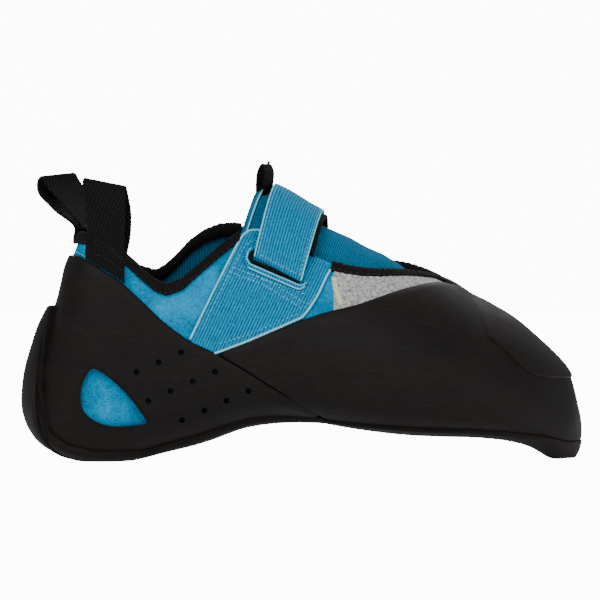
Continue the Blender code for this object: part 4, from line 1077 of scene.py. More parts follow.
def make_vent_shade_discs(name, points, faces, side):
    """Thin dark discs of painted shade at the bottoms of the vents, near black with a little teal."""
    depth = np.array([0.0, -0.0003 * side, 0.0])
    made, closed = [], []
    for face in faces:
        ring = points[face]
        first, count = len(made), len(face)
        made.extend(ring)
        made.extend(ring + depth)
        closed.append(list(range(first, first + count)))
        closed.append(list(range(first + 2 * count - 1, first + count - 1, -1)))
        for k in range(count):
            after = (k + 1) % count
            closed.append([first + after, first + k, first + count + k, first + count + after])
    make_piece(name, np.array(made), closed, finish_of("vent_shade"), slot="black_rubber")


def build_toe_cap():
    crossing = 3 + CAP_START
    s = fine_columns(crossing, 7 - crossing, 0.014)
    inside = RAND_FACE - 0.0002
    bottom = tilt_where(s, CAP_SEAM, distance=RAND_FACE + FIT_GAP)

    def outside(grid_s, tilts, normals, base):
        step = np.clip((base[..., 0] - CAP_FADE[0]) / (CAP_FADE[1] - CAP_FADE[0]), 0, 1)
        thin, full = 0.0001, FIT_GAP + TOE_CAP_THICKNESS * 0.6
        return RAND_FACE + thin + (full - thin) * eased(step)

    skin("toe_cap_rubber", s, 90.0, bottom, inside, outside, finish_of("rubber"),
         rows=44, closed=(True, False), radius=0.0012, node="toe_cap", slot="black_rubber")


def build_panels():
    """Grey suede at the sides of the throat and the woven pieces that carry the strap."""
    for side, inner in SIDES:
        s = np.linspace(*sorted(column_at(np.array(PANEL_RANGE), inner)), 90)
        slant = curve_of(PANEL_SLANT, share_of(s))
        top = drop(s, np.minimum(topline(s), 88.0), (BINDING_DEPTH - 0.0012) * slant)
        bottom = drop(s, rand_top(s), 0.0006)
        skin("vamp_panel_" + side + "_suede", s, top, np.minimum(bottom, top - 1.0), -0.0001,
             FIT_GAP + PANEL_THICKNESS * 0.6, finish_of("grey_suede"), rows=44, radius=0.0006,
             relief=cloth_relief(0.0001, 260.0, 7), node="vamp_panel_" + side, slot="grey_suede")
    for side, inner in SIDES:
        s = np.linspace(*sorted(column_at(np.array(BASE_RANGE), inner)), 110)
        share = share_of(s)
        top = np.minimum(tilt_where(s, BASE_TOP), drop(s, topline(s), SEAM_GAP))
        rubber = np.where(share < RAND_TOP[0][0], tilt_where(s, HEEL_TOP, distance=RAND_FACE), rand_top(s))
        bottom = np.maximum(tilt_where(s, BASE_BOTTOM), drop(s, rubber, 0.0004))
        skin("strap_base_" + side + "_cloth", s, smooth(top, 2), bottom, -0.0001, FIT_GAP + BASE_THICKNESS * 0.8,
             finish_of("blue_cloth"), rows=60, radius=0.0007, relief=cloth_relief(0.00012, 230.0, 11),
             node="strap_base_" + side, slot="blue_woven")
        lift = FIT_GAP + BASE_THICKNESS * 0.62
        high, outwards = surface(s, drop(s, smooth(top, 2), 0.0002))
        high = high + outwards * lift
        low, outwards = surface(s, drop(s, bottom, -0.0003))
        low = low + outwards * lift
        tube("strap_base_fold_" + side, high[share < FOLD_END], 0.0005, finish_of("pale_edge"), slot="blue_woven")
        hem, out = low[share > HEM_START], outwards[share > HEM_START]
        tube("strap_base_hem_" + side, hem, 0.00055, finish_of("pale_edge"), slot="blue_woven")
        sew("hem_stitches_" + side, [hem + out * 0.0003], finish_of("whitish_thread"), pitch=0.0015,
            thickness=0.0009)


def tongue_rise(shares, across, opening):
    swell = curve_of(TONGUE_SWELL, shares)
    free = np.maximum(opening - TONGUE_SIDE, 1.0)
    return swell * np.clip(1 - (across / free) ** 2, 0, 1) ** 1.2


def build_tongue():
    shares = np.linspace(*TONGUE_RANGE, 120)[:, None]
    reach = curve_of(TONGUE_REACH, shares)
    opening = np.minimum(np.maximum(throat_degrees(shares), reach * 0.3), reach * 0.9)
    across = reach * np.linspace(-1, 1, 61)[None, :]
    back = TONGUE_BACK * np.abs(across / reach) ** 1.3 * np.linspace(1, 0, len(shares))[:, None] ** 3
    points, normals = surface(*across_ridge(shares - back, across))
    rise = tongue_rise(shares, across, opening)
    span, width = run_along(points, 0), run_along(points, 1)
    edge = np.minimum(np.minimum(width, width[:, -1:] - width), span)
    relief = cloth_relief(0.00022, 200.0, 21)(points, normals, edge, edge)
    full = TONGUE_THICKNESS * rounded(edge, 0.0014)
    under = rise - TONGUE_DROP - TONGUE_THICKNESS
    outer = points + normals * (under + full + relief)[..., None]
    inner = points + normals * under[..., None]
    coordinates = np.stack([span, width], axis=-1)
    grid_piece("tongue_cloth", outer, inner, finish_of("tongue_cloth"), coordinates=coordinates,
               finish_inside=finish_of("lining"), node="tongue", slot="blue_woven")
    # The top of the tongue: a folded edge with a pale border
    spread = np.linspace(-0.97, 0.97, 41)
    degrees = curve_of(TONGUE_REACH, TONGUE_RANGE[0]) * spread
    base, out = surface(*across_ridge(TONGUE_RANGE[0] - TONGUE_BACK * np.abs(spread) ** 1.3, degrees))
    lift = tongue_rise(np.full(41, TONGUE_RANGE[0]), degrees, np.full(41, THROAT[0][1]))
    fold = base + out * (lift - TONGUE_DROP - TONGUE_THICKNESS * 0.5)[:, None]
    tube("tongue_top_fold", fold, 0.0015, finish_of("tongue_cloth"), sides=14, slot="blue_woven")
    tube("tongue_top_border", fold + out * 0.0012 + np.array([0.0009, 0, 0.0004]), 0.00045, finish_of("pale_edge"),
         slot="blue_woven")


def strap_height(v):
    low = 2 * FIT_GAP + BASE_THICKNESS
    ramp = np.clip(np.minimum(v, 2 - v) / STRAP_RAMP, 0, 1)
    crown = np.sin(math.pi * np.clip(v / 2, 0, 1)) ** STRAP_CROWN
    return low + (LINING_THICKNESS + FIT_GAP) * ramp + STRAP_RISE * crown


def tilt_at_height(s, height):
    """Tilt at which each column comes down to its own height."""
    points, _ = surface(s[:, None], TILTS[None, :])
    z = points[..., 2]
    found = np.empty(len(s))
    for i, wanted in enumerate(height):
        below = np.nonzero(z[i] <= wanted)[0]
        k = below[0] if len(below) else len(TILTS) - 1
        share = 0.0 if k == 0 else (z[i, k - 1] - wanted) / max(z[i, k - 1] - z[i, k], 1e-9)
        found[i] = TILTS[max(k - 1, 0)] + share * (TILTS[k] - TILTS[max(k - 1, 0)])
    return found


def strap_grid(v, w, shift=(0.0, 0.0)):
    """Points and normals on the last along the strap, v from foot to foot and w from its back to its front edge."""
    v, w = np.broadcast_arrays(v[:, None], w[None, :])
    flat_v, flat_w = v.ravel(), w.ravel()
    inner = flat_v > 1
    share = np.where(inner, 2 - flat_v, flat_v)
    moved = shift[0] * (1 - flat_w) + shift[1] * flat_w
    sides = [[back[k] * (1 - flat_w) + front[k] * flat_w for k in (0, 1)]
             for back, front in (STRAP_FOOT, STRAP_INNER_FOOT)]
    foot = [np.where(inner, sides[1][k], sides[0][k]) for k in (0, 1)]
    ridge = STRAP_RIDGE[0] * (1 - flat_w) + STRAP_RIDGE[1] * flat_w
    foot_columns = np.where(inner, column_at(foot[0] + moved, True), column_at(foot[0] + moved, False))
    low = tilt_at_height(foot_columns, level(foot[1]))
    along = foot[0] * (1 - share) + ridge * share + moved
    tilt = low * (1 - share) + 90 * share
    columns_now = np.where(inner, column_at(along, True), column_at(along, False))
    points, normals = surface(columns_now, tilt)
    return points.reshape(v.shape + (3,)), normals.reshape(v.shape + (3,)), v


def from_edges(grid):
    """Distance of each point of a grid from the nearest of its edges, and the lengths along both ways."""
    a, b = run_along(grid, 0), run_along(grid, 1)
    return np.minimum(np.minimum(a, a[-1:] - a), np.minimum(b, b[:, -1:] - b)), a, b


def edge_spaced(count, near):
    """Shares from 0 to 1 that stand close together at both ends."""
    ends = np.array([0.0, 0.1, 0.3, 0.6, 1.0]) * near
    return np.concatenate([ends, np.linspace(near, 1 - near, count)[1:-1], 1 - ends[::-1]])


def build_strap():
    w = edge_spaced(14, 0.04)
    v = 2 * edge_spaced(64, 0.012)
    base, normals, grid_v = strap_grid(v, w)
    edge, a, b = from_edges(base)
    under = strap_height(grid_v)
    full = STRAP_THICKNESS * rounded(edge, 0.0007)
    relief = cloth_relief(0.00012, 240.0, 31)(base, normals, edge, edge)
    outer = base + normals * (under + full + relief)[..., None]
    inner = base + normals * under[..., None]
    grid_piece("strap_cloth", outer, inner, finish_of("strap_cloth"), coordinates=np.stack([b, a], -1),
               finish_inside=finish_of("webbing"), node="strap", slot="blue_woven")
    v = LINING_START + (2 - 2 * LINING_START) * edge_spaced(48, 0.012)
    base, normals, grid_v = strap_grid(v, w, LINING_SHIFT)
    edge, a, b = from_edges(base)
    under = strap_height(grid_v) - FIT_GAP - LINING_THICKNESS
    outer = base + normals * (under + (LINING_THICKNESS + FIT_GAP * 0.8) * rounded(edge, 0.0006))[..., None]
    inner = base + normals * under[..., None]
    grid_piece("strap_lining_cloth", outer, inner, finish_of("webbing"), coordinates=np.stack([a, b], -1),
               node="strap_lining", slot="black_webbing")
    # The pale folded edges of the strap
    for name, share in (("back", 0.012), ("front", 0.988)):
        path = on_strap(np.linspace(0.01, 1.99, 90), [share], 0.72)
        tube("strap_border_" + name, path, 0.00042, finish_of("pale_edge"), slot="blue_woven")


def on_strap(v, w, share):
    """A path of points at a share of the strap's thickness, where v or w is a single value."""
    base, normals, grid_v = strap_grid(np.asarray(v), np.asarray(w))
    return (base + normals * (strap_height(grid_v) + STRAP_THICKNESS * share)[..., None]).reshape(-1, 3)


# Lengths of the small and the slow waves in the tape
PUCKER_SPACING = 0.0031
PUCKER_SWELL = 0.019
BINDING_PROFILE = (
    # down from the edge of the upper, out from its outer face
    (0.0046, 0.0004), (0.0046, 0.0011), (0.0042, 0.0016), (0.0030, 0.0018), (0.0015, 0.0018), (0.0002, 0.0016),
    (-0.0008, 0.0010), (-0.0013, 0.0000), (-0.0014, -0.0010), (-0.0012, -0.0020), (-0.0004, -0.0029),
    (0.0012, -0.0034), (0.0040, -0.0034), (0.0046, -0.0030), (0.0046, -0.0019), (0.0020, -0.0010),
)


def edge_band(name, edge_at, profile, finish, puckers=0.00018, **facts):
    """A folded tape round an edge. edge_at gives points and normals at a distance down from it."""
    rings = []
    for down, out in profile:
        points, normals = edge_at(down)
        rings.append(points + normals * out)
    grid = np.stack(rings, axis=1)
    count, sides = grid.shape[:2]
    run = run_along(grid[:, 3])
    turns = run * 2 * math.pi
    wave = puckers * np.sin(turns / PUCKER_SPACING) * (0.6 + 0.4 * np.sin(turns / PUCKER_SWELL))
    grid = grid + unit(grid - grid.mean(axis=1, keepdims=True)) * wave[:, None, None]
    index = np.arange(count * sides).reshape(count, sides)
    a, d = index[:-1], index[1:]
    faces = np.stack([a, np.roll(a, -1, axis=1), np.roll(d, -1, axis=1), d], -1).reshape(-1, 4).tolist()
    faces += [index[0].tolist(), index[-1].tolist()]
    coordinates = np.stack([np.repeat(run, sides), np.tile(run_along(profile), count)], axis=-1)
    return make_piece(name, grid.reshape(-1, 3), faces, finish, coordinates=coordinates, **facts)


def throat_edge():
    """A function of the distance down from the throat's edge, square to it in the flat pattern of the instep."""
    half = np.linspace(THROAT[-1][0], THROAT_START, 150)
    degrees = throat_degrees(half)
    order = slice(None, None, -1)
    shares = np.concatenate([half[order], half[1:]])
    degrees = np.concatenate([-degrees[order], degrees[1:]])
    here, _ = surface(*across_ridge(shares, degrees))
    beside, _ = surface(*across_ridge(shares, degrees + np.where(degrees > 0, 1.0, -1.0)))
    metric = smooth(np.linalg.norm(beside - here, axis=1), 3)
    run = np.stack([np.gradient(shares) * SHOE_LENGTH, np.gradient(degrees) * metric], axis=1)
    run = np.stack([smooth(run[:, 0], 6), smooth(run[:, 1], 6)], axis=1)
    run = unit(run)

    def at(distance):
        moved = shares + run[:, 1] * distance / SHOE_LENGTH
        turned = degrees - run[:, 0] * distance / metric
        return surface(*across_ridge(moved, turned))

    return at


def collar_edge():
    s = round_heel(COLLAR_END)
    s = np.linspace(s[0], s[-1], 420)
    edge = topline(s)
    return lambda distance: surface(s, drop(s, edge, distance))


def build_bindings():
    for name, edge_at in (("collar", collar_edge()), ("throat", throat_edge())):
        edge_band(name + "_tape", edge_at, BINDING_PROFILE, finish_of("binding"), node=name + "_binding",
                  slot="black_webbing")


def refined(rows, count):
    """Rows of points along a smooth curve through the given ones."""
    rows = np.array(rows)
    lengths = run_along(rows[:, rows.shape[1] // 2])
    slopes = np.gradient(rows, lengths, axis=0)
    found = []
    for place_now in np.linspace(0, lengths[-1], count):
        i = min(max(np.searchsorted(lengths, place_now) - 1, 0), len(lengths) - 2)
        width = lengths[i + 1] - lengths[i]
        t = (place_now - lengths[i]) / width
        found.append(hermite(t, width, rows[i], rows[i + 1], slopes[i], slopes[i + 1]))
    return np.array(found)


def webbing(name, grid, thickness, finish, **facts):
    """A strip of webbing with rounded edges about a grid of points."""
    along, across = np.gradient(grid, axis=0), np.gradient(grid, axis=1)
    normal = unit(np.cross(along, across))
    a, b = run_along(grid, 0), run_along(grid, 1)
    edge = np.minimum(b, b[:, -1:] - b)
    half = thickness / 2 * np.maximum(rounded(edge, 0.0007), 0.25)
    return grid_piece(name, grid + normal * half[..., None], grid - normal * half[..., None], finish,
                      coordinates=np.stack([a, b], -1), **facts)


# Distance from the upper to the loops' legs, on either side of its wall
LEG_FACE = BINDING_GAP + BINDING_THICKNESS + LOOP_GAP * 0.6


def build_loop(name, node_name, centre, lean, height, bulge, top_across, leg, bow):
    near = centre + np.linspace(-0.3, 0.3, 121)
    run = run_along(surface(near, topline(near))[0])
    places = edge_spaced(10, 0.06) - 0.5
    s = np.interp(run[60] + LOOP_WIDTH * places, run, near)
    edge = topline(s)
    outside = LEG_FACE + WEBBING_THICKNESS / 2
    inside = -UPPER_WALL - outside
    rand = np.minimum(tilt_where(s, HEEL_TOP, distance=RAND_FACE) + 0.4, edge - 2.0)
    rand = edge + (rand - edge) * leg
    rows = []
    for share in (1.0, 0.75, 0.5, 0.25, 0.0):
        base, normal = surface(s, edge + (rand - edge) * share)
        rows.append(base + normal * (outside - 0.0012 * share**2))
    over_out, normal = surface(s, drop(s, edge, -2 * BINDING_THICKNESS))
    over_in = over_out + normal * inside
    over_out = over_out + normal * outside
    across, top_across = unit(over_out[-1] - over_out[0]), unit(np.array(top_across))
    top_across = top_across * np.sign(top_across @ across)
    facing = normal.mean(axis=0)
    lean = np.array(lean)

    def raised(start, up, side):
        spread = unit(across * (1 - up) + top_across * up) * (LOOP_WIDTH * places)[:, None]
        flat = start.mean(axis=0) + spread + facing * side * bulge * math.sin(math.pi * up)
        shape = min(1.0, up / LOOP_RISES[0])
        leaning = lean * (up**1.3 * (1 - bow) + math.sin(up * math.pi / 2) * bow)
        return start * (1 - shape) + flat * shape + leaning + [0, 0, height * up]

    for up in LOOP_RISES:
        rows.append(raised(over_out, up, 1))
    fold = facing * LOOP_FOLD
    rows.append(rows[-1] - fold * 0.5 + [0, 0, LOOP_FOLD * 0.5])
    rows.append(rows[-2] - fold)
    for up in LOOP_RISES[-2::-1]:
        rows.append(raised(over_in, up, -1))
    for down in LOOP_INSIDE:
        base, normal_in = surface(s, drop(s, edge, down))
        rows.append(base + normal_in * inside)
    return webbing(name, refined(rows, 90), WEBBING_THICKNESS, finish_of("webbing"), node=node_name,
                   slot="black_webbing")


def tab_origin():
    """The foot of the tongue's loop."""
    top, facing = surface(*across_ridge(TAB_PLACE, 0.0))
    return top + facing * (TONGUE_SWELL[0][1] - TONGUE_DROP) + [0, 0, TAB_SEAT]


def build_loops():
    build_loop("heel_loop_outer_webbing", "heel_loop_outer", OUTER_LOOP_PLACE, OUTER_LOOP_LEAN, OUTER_LOOP_HEIGHT,
               OUTER_LOOP_BULGE * 0.4, (1.0, 0.10, -0.20), leg=1.0, bow=0.0)
    build_loop("heel_loop_inner_webbing", "heel_loop_inner", INNER_LOOP_PLACE, INNER_LOOP_LEAN, INNER_LOOP_HEIGHT,
               INNER_LOOP_BULGE * 1.2, (0.75, 0.62, 0.10), leg=0.5, bow=1.0)
    origin = tab_origin()
    turn = math.radians(TAB_TURN)
    side = np.array([math.sin(turn), math.cos(turn), 0.0]) * TAB_WIDTH
    front = np.array([math.cos(turn), -math.sin(turn), 0.0])
    widths = edge_spaced(8, 0.08) - 0.5
    rows = []
    for forward, up in TAB_PATH:
        point = origin + front * forward + [TAB_LEAN * up, 0, TAB_HEIGHT * up]
        rows.append(point + side * widths[:, None])
    webbing("tongue_tab_webbing", refined(rows, 60), WEBBING_THICKNESS * 0.8, finish_of("webbing"), node="tongue_loop",
            slot="black_webbing")


# Stitches: rows of threads from one Geometry Nodes tree


def stitch_tree():
    """Lays a small thread on each point, along its direction and as long as its length."""
    known = bpy.data.node_groups.get("stitch row")
    if known:
        return known
    tree = bpy.data.node_groups.new("stitch row", "GeometryNodeTree")
    for label, way, kind in (
        ("Geometry", "INPUT", "Geometry"), ("Thread thickness", "INPUT", "Float"), ("Finish", "INPUT", "Material"),
        ("Geometry", "OUTPUT", "Geometry"),
    ):
        tree.interface.new_socket(name=label, in_out=way, socket_type="NodeSocket" + kind)
    given, result = tree.nodes.new("NodeGroupInput"), tree.nodes.new("NodeGroupOutput")
    link = tree.links.new
    thread = node(tree, "GeometryNodeMeshUVSphere", Segments=6, Rings=5, Radius=0.5)
    direction = node(tree, "GeometryNodeInputNamedAttribute", data_type="FLOAT_VECTOR", Name="direction")
    length = node(tree, "GeometryNodeInputNamedAttribute", data_type="FLOAT", Name="length")
    turn = node(tree, "FunctionNodeAlignRotationToVector", axis="Z")
    link(direction.outputs["Attribute"], turn.inputs["Vector"])
    size = node(tree, "ShaderNodeCombineXYZ")
    for axis in ("X", "Y"):
        link(given.outputs["Thread thickness"], size.inputs[axis])
    link(length.outputs["Attribute"], size.inputs["Z"])
    place_all = node(tree, "GeometryNodeInstanceOnPoints")
    link(given.outputs["Geometry"], place_all.inputs["Points"])
    link(thread.outputs["Mesh"], place_all.inputs["Instance"])
    link(turn.outputs["Rotation"], place_all.inputs["Rotation"])
    link(size.outputs["Vector"], place_all.inputs["Scale"])
    real = node(tree, "GeometryNodeRealizeInstances")
    link(place_all.outputs["Instances"], real.inputs["Geometry"])
    finish = node(tree, "GeometryNodeSetMaterial")
    link(real.outputs["Geometry"], finish.inputs["Geometry"])
    link(given.outputs["Finish"], finish.inputs["Material"])
    link(finish.outputs["Geometry"], result.inputs["Geometry"])
    return tree


def sew(name, rows, finish, pitch=None, thickness=None, fill=0.72):
    """Stitches along rows of points. A row is a path of points on the surface of what it is sewn through."""
    settings = bpy.context.scene.shoe_dressing
    pitch = pitch or settings.stitch_pitch
    thickness = thickness or settings.thread_thickness
    places, directions, lengths = [], [], []
    for row in rows:
        row = np.asarray(row, float)
        run = run_along(row)
        count = max(int(round(run[-1] / pitch)), 1)
        cuts = np.linspace(0, run[-1], count + 1)
        starts = np.array([np.interp(cuts, run, row[:, k]) for k in range(3)]).T
        middle = (starts[1:] + starts[:-1]) / 2
        way = starts[1:] - starts[:-1]
        places.append(middle)
        directions.append(unit(way))
        lengths.append(np.linalg.norm(way, axis=1) * fill)
    places, directions, lengths = np.concatenate(places), np.concatenate(directions), np.concatenate(lengths)
    mesh = bpy.data.meshes.new(name)
    mesh.from_pydata([tuple(p) for p in places], [], [])
    mesh.attributes.new("direction", "FLOAT_VECTOR", "POINT").data.foreach_set("vector", directions.ravel())
    mesh.attributes.new("length", "FLOAT", "POINT").data.foreach_set("value", lengths)
    points = add_object(name + "_points", mesh)
    modifier = points.modifiers.new("stitches", "NODES")
    modifier.node_group = stitch_tree()
    for socket in modifier.node_group.interface.items_tree:
        if socket.name == "Thread thickness":
            modifier[socket.identifier] = thickness
        elif socket.name == "Finish":
            modifier[socket.identifier] = finish
    graph = bpy.context.evaluated_depsgraph_get()
    sewn = bpy.data.meshes.new_from_object(points.evaluated_get(graph))
    bpy.data.objects.remove(points)
    sewn.shade_smooth()
    if not sewn.materials:
        sewn.materials.append(finish)
    return join_frame(add_object(name, sewn), None)


def on_side(outline, inner, distance):
    """Points at a distance from the last over a path given as shares in the side view."""
    found = []
    for along, up in outline:
        origin = np.array([along_shoe(along), LAST.at(along_shoe(along), "ridge"), level(up)])
        hit = LAST.reach(origin, np.array([0.0, 1.0 if inner else -1.0, 0.0]))
        found.append(hit + np.array([0, distance if inner else -distance, 0]))
    return np.array(found)


def between(points, count=40):
    """More points along a path of shares."""
    points = np.array(points, float)
    run = run_along(points)
    spots = np.linspace(0, run[-1], count)
    return np.array([np.interp(spots, run, points[:, k]) for k in (0, 1)]).T


def base_rows(inner):
    """Stitch rows on the woven strap base: inside its edges and twice across it."""
    rows = [
        between([(0.322, 0.520), (0.345, 0.625), (0.372, 0.748), (0.393, 0.838), (0.408, 0.872), (0.428, 0.872)]),
        between([(0.368, 0.752), (0.430, 0.700), (0.496, 0.606)]),
        between([(0.376, 0.768), (0.438, 0.712), (0.503, 0.626)]),
        between([(0.400, 0.748), (0.450, 0.704), (0.502, 0.662)]),
        between([(0.534, 0.765), (0.528, 0.705), (0.514, 0.645), (0.500, 0.606)]),
        between([(0.352, 0.468), (0.400, 0.503), (0.450, 0.549), (0.490, 0.588)]),
    ]
    return [on_side(row, inner, FIT_GAP + BASE_THICKNESS * 0.85) for row in rows]


def build_welt():
    """The raised edge round the strap's end on the outer side, with a near-black tube beside it that paints the shade
    in the slit.
    """
    lift = FIT_GAP + BASE_THICKNESS
    welt = [(0.415, 0.842), (0.406, 0.836), (0.400, 0.820), (0.398, 0.797), (0.403, 0.775), (0.446, 0.7325),
            (0.4905, 0.690), (0.496, 0.692), (0.502, 0.702)]
    tube("strap_welt", on_side(between(welt, 90), False, lift + 0.0001), 0.0011, finish_of("strap_cloth"),
         sides=12, slot="blue_woven")
    border = [(a - 0.0008, b - 0.008) for a, b in welt[4:]]
    tube("strap_welt_border", on_side(between(border, 80), False, lift + 0.0008), 0.00034, finish_of("pale_edge"),
         slot="blue_woven")
    crest = [(a + 0.0022, b + 0.006) for a, b in welt[1:]]
    tube("strap_welt_crest", on_side(between(crest, 80), False, lift + 0.0010), 0.00030, finish_of("pale_edge"),
         slot="blue_woven")
    # A near-black tube in the binding's finish paints the shade in the slit under the strap's end
    slit = [(0.4135, 0.832), (0.4085, 0.820), (0.4075, 0.802), (0.411, 0.789), (0.450, 0.751), (0.492, 0.709)]
    tube("strap_slit", on_side(between(slit, 70), False, lift), 0.0009, finish_of("binding"), sides=10,
         slot="black_webbing")


def build_stitches():
    thread, cream, dark = finish_of("thread"), finish_of("cream_thread"), finish_of("black_thread")
    for side, inner in SIDES:
        sew("base_stitches_" + side, base_rows(inner), thread)
    build_welt()
    rows = [on_strap(np.linspace(0.04, 1.96, 160), [share], 1.03) for share in (0.06, 0.94)]
    rows += [on_strap([end], np.linspace(0.10, 0.90, 30), 1.03) for end in (0.05, 1.95)]
    sew("strap_stitches", rows, thread)
    # Zigzag at the back edge of the grey panels
    for side, inner in SIDES:
        spine = between([(0.551, 0.728), (0.553, 0.690), (0.563, 0.622)], 25)
        zigzag = np.array([(a + (0.0062 if k % 2 else -0.0050), b) for k, (a, b) in enumerate(spine)])
        path = on_side(zigzag, inner, FIT_GAP + PANEL_THICKNESS * 0.75)
        sew("panel_zigzag_" + side, [path[k:k + 2] for k in range(len(path) - 1)], cream, pitch=0.02,
            thickness=0.0006, fill=1.05)
    rows = []
    for edge_at in (collar_edge(), throat_edge()):
        points, normals = edge_at(0.0038)
        rows.append(points + normals * 0.00172)
    sew("tape_stitches", rows, dark, pitch=0.0026, thickness=0.00036)
    # Short rows across the feet of the heel loops
    rows = []
    for centre in (OUTER_LOOP_PLACE, INNER_LOOP_PLACE):
        near = centre + np.linspace(-0.052, 0.070, 20)
        for down in (0.0022, 0.0036, 0.0086):
            base, normals = surface(near, drop(near, topline(near), down))
            rows.append(base + normals * (LEG_FACE + WEBBING_THICKNESS * 1.03))
    sew("loop_stitches", rows, dark, pitch=0.0018, thickness=0.0004)
    # A pale row where the outer loop's leg meets the rand
    row = on_side(between([(0.100, 0.828), (0.116, 0.812), (0.129, 0.797), (0.182, 0.723)]), False, RAND_FACE * 0.75)
    sew("leg_stitches", [row], finish_of("whitish_thread"), pitch=0.0023, thickness=0.0005, fill=0.6)
    # The loose end of a thread on top of the tongue's loop
    start = tab_origin() + [0.0012, 0, TAB_HEIGHT]
    tube("thread_end", start + np.linspace(0, 1, 6)[:, None] * [0.0007, 0, 0.0016], 0.0006, finish_of("black_thread"),
         slot="black_webbing")


# Half the floor's width, its level, the glow that the camera sees on floor and wall, and the floor's own
FLOOR_HALF = 3
FLOOR_LEVEL = -0.0002
BACKDROP_GLOW = 12.0
FLOOR_GLOW = 0.3
# Lamps. Columns: name, place, power, size.
LAMPS = (
    ("key", (-0.35, -0.95, 0.95), 10.0, 0.7), ("fill", (0.95, -0.75, 0.45), 4.0, 0.8),
    ("back", (0.15, 0.9, 0.9), 7.0, 0.8),
)
LAMP_AIM = Vector((0.0, 0.0, 0.06))
CAMERA_AIM = Vector((-0.0018, 0.0, 0.0705))
SENSOR_WIDTH = 36.0


def build_stage():
    mesh = bpy.data.meshes.new("floor")
    corners = [(-FLOOR_HALF, -FLOOR_HALF), (FLOOR_HALF, -FLOOR_HALF), (FLOOR_HALF, FLOOR_HALF),
               (-FLOOR_HALF, FLOOR_HALF)]
    mesh.from_pydata([(x, y, FLOOR_LEVEL) for x, y in corners], [], [(0, 1, 2, 3)])
    floor = add_object("floor", mesh)
    paper = bpy.data.materials.new("paper")
    paper.use_nodes = True
    shader = paper.node_tree.nodes["Principled BSDF"]
    shader.inputs["Base Color"].default_value = (0.86, 0.86, 0.86, 1)
    shader.inputs["Roughness"].default_value = 0.9
    shader.inputs["Emission Color"].default_value = (1, 1, 1, 1)
    # The floor glows for the camera as brightly as the wall, and only faintly for the shoe.
    seen = node(paper.node_tree, "ShaderNodeLightPath").outputs["Is Camera Ray"]
    glow = math_node(paper.node_tree, "MULTIPLY_ADD", seen, BACKDROP_GLOW, FLOOR_GLOW)
    paper.node_tree.links.new(glow, shader.inputs["Emission Strength"])
    mesh.materials.append(paper)
    world = bpy.data.worlds.new("studio")
    bpy.context.scene.world = world
    world.use_nodes = True
    tree = world.node_tree
    light = tree.nodes["Background"]
    light.inputs["Color"].default_value = (1, 1, 1, 1)
    light.inputs["Strength"].default_value = 0.35
    wall = node(tree, "ShaderNodeBackground", Color=(1, 1, 1, 1), Strength=BACKDROP_GLOW)
    seen, path = node(tree, "ShaderNodeMixShader"), node(tree, "ShaderNodeLightPath")
    tree.links.new(path.outputs["Is Camera Ray"], seen.inputs["Fac"])
    tree.links.new(light.outputs[0], seen.inputs[1])
    tree.links.new(wall.outputs[0], seen.inputs[2])
    tree.links.new(seen.outputs[0], tree.nodes["World Output"].inputs["Surface"])
    for name, spot, power, size in LAMPS:
        data = bpy.data.lights.new(name, "AREA")
        data.energy, data.size = power, size
        lamp = add_object(name, data)
        lamp.location = spot
        lamp.rotation_euler = (LAMP_AIM - Vector(spot)).to_track_quat("-Z", "Y").to_euler()
    settings = bpy.context.scene.shoe_dressing
    lift = math.radians(settings.camera_elevation)
    data = bpy.data.cameras.new("camera")
    data.sensor_width = SENSOR_WIDTH
    data.lens = SENSOR_WIDTH * settings.camera_distance / settings.view_width
    camera = add_object("camera", data)
    camera.location = CAMERA_AIM + Vector((0, -math.cos(lift), math.sin(lift))) * settings.camera_distance
    camera.rotation_euler = (CAMERA_AIM - camera.location).to_track_quat("-Z", "Y").to_euler()
    bpy.context.scene.camera = camera


class ShoeDressingSettings(bpy.types.PropertyGroup):
    suede_colour: FloatVectorProperty(name="Suede colour", description="Colour of the upper's suede", subtype="COLOR",
                                      size=3, min=0, max=1, default=(0.001, 0.26, 0.52))
    cloth_colour: FloatVectorProperty(name="Cloth colour", description="Colour of strap, strap bases and tongue",
                                      subtype="COLOR", size=3, min=0, max=1, default=(0.001, 0.22, 0.43))
    panel_colour: FloatVectorProperty(name="Panel colour", description="Colour of the grey suede panels",
                                      subtype="COLOR", size=3, min=0, max=1, default=(0.34, 0.335, 0.33))
    rubber_colour: FloatVectorProperty(name="Rubber colour", description="Colour of rands and soles",
                                       subtype="COLOR", size=3, min=0, max=1, default=(0.0060, 0.0046, 0.0040))
    thread_colour: FloatVectorProperty(name="Thread colour", description="Colour of stitches and folded edges",
                                       subtype="COLOR", size=3, min=0, max=1, default=(0.19, 0.58, 0.74))
    stitch_pitch: FloatProperty(name="Stitch pitch", description="Length of one stitch with its gap",
                                subtype="DISTANCE", unit="LENGTH", min=0.0005, max=0.01, default=0.0021)
    thread_thickness: FloatProperty(name="Thread thickness", description="Thickness of the sewing thread",
                                    subtype="DISTANCE", unit="LENGTH", min=0.0001, max=0.002, default=0.00036)
    camera_elevation: FloatProperty(name="Camera elevation", description="Angle of the camera above the floor, degrees",
                                    min=-10, max=60, default=1.0)
    camera_distance: FloatProperty(name="Camera distance", description="Distance from the camera to the shoe",
                                   subtype="DISTANCE", unit="LENGTH", min=0.3, max=5, default=1.3)
    view_width: FloatProperty(name="View width", description="Width of the view at the shoe", subtype="DISTANCE",
                              unit="LENGTH", min=0.1, max=2, default=0.2661)


class SHOE_OT_upper(bpy.types.Operator):
    """Builds the suede upper and the footbed"""
    bl_idname = "shoe.build_upper"
    bl_label = "Upper and footbed"

    def execute(self, context):
        build_upper()
        build_insole()
        return {"FINISHED"}


class SHOE_OT_rubber(bpy.types.Operator):
    """Builds the soles, the rands and the toe patch"""
    bl_idname = "shoe.build_rubber"
    bl_label = "Rubber"

    def execute(self, context):
        build_outsole()
        build_heel_sole()
        build_toe_rand()
        build_heel_rand()
        build_toe_cap()
        return {"FINISHED"}


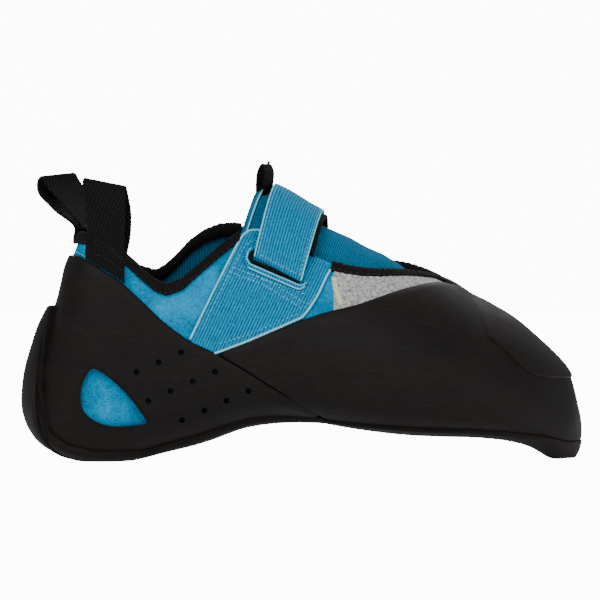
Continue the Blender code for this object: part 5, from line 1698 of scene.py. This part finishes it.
class SHOE_OT_panels(bpy.types.Operator):
    """Builds the grey panels and the woven strap bases"""
    bl_idname = "shoe.build_panels"
    bl_label = "Panels"

    def execute(self, context):
        build_panels()
        return {"FINISHED"}


class SHOE_OT_closure(bpy.types.Operator):
    """Builds the tongue and the strap over it"""
    bl_idname = "shoe.build_closure"
    bl_label = "Tongue and strap"

    def execute(self, context):
        build_tongue()
        build_strap()
        return {"FINISHED"}


class SHOE_OT_edges(bpy.types.Operator):
    """Builds the folded tapes round collar and throat and the webbing loops"""
    bl_idname = "shoe.build_edges"
    bl_label = "Tapes and loops"

    def execute(self, context):
        build_bindings()
        build_loops()
        return {"FINISHED"}


class SHOE_OT_stitches(bpy.types.Operator):
    """Sews the rows of stitches"""
    bl_idname = "shoe.sew"
    bl_label = "Stitches"

    def execute(self, context):
        build_stitches()
        return {"FINISHED"}


class SHOE_OT_stage(bpy.types.Operator):
    """Sets up floor, light and camera"""
    bl_idname = "shoe.build_stage"
    bl_label = "Stage"

    def execute(self, context):
        build_stage()
        return {"FINISHED"}


class SHOE_PT_dressing(bpy.types.Panel):
    """Lists the settings and the steps"""
    bl_idname = "SHOE_PT_dressing"
    bl_label = "Climbing shoe"
    bl_space_type = "VIEW_3D"
    bl_region_type = "UI"
    bl_category = "Shoe"

    def draw(self, context):
        for name in ShoeDressingSettings.__annotations__:
            self.layout.prop(context.scene.shoe_dressing, name)
        for step in STEPS:
            self.layout.operator(step.bl_idname)


STEPS = (SHOE_OT_upper, SHOE_OT_rubber, SHOE_OT_panels, SHOE_OT_closure, SHOE_OT_edges, SHOE_OT_stitches, SHOE_OT_stage)


def register():
    bpy.utils.register_class(ShoeDressingSettings)
    for step in STEPS:
        bpy.utils.register_class(step)
    bpy.utils.register_class(SHOE_PT_dressing)
    bpy.types.Scene.shoe_dressing = PointerProperty(type=ShoeDressingSettings)


def unregister():
    del bpy.types.Scene.shoe_dressing
    bpy.utils.unregister_class(SHOE_PT_dressing)
    for step in reversed(STEPS):
        bpy.utils.unregister_class(step)
    bpy.utils.unregister_class(ShoeDressingSettings)


def main():
    register()
    bpy.ops.shoe.build_upper()
    bpy.ops.shoe.build_rubber()
    bpy.ops.shoe.build_panels()
    bpy.ops.shoe.build_closure()
    bpy.ops.shoe.build_edges()
    bpy.ops.shoe.sew()
    bpy.ops.shoe.build_stage()


if __name__ == "__main__":
    main()
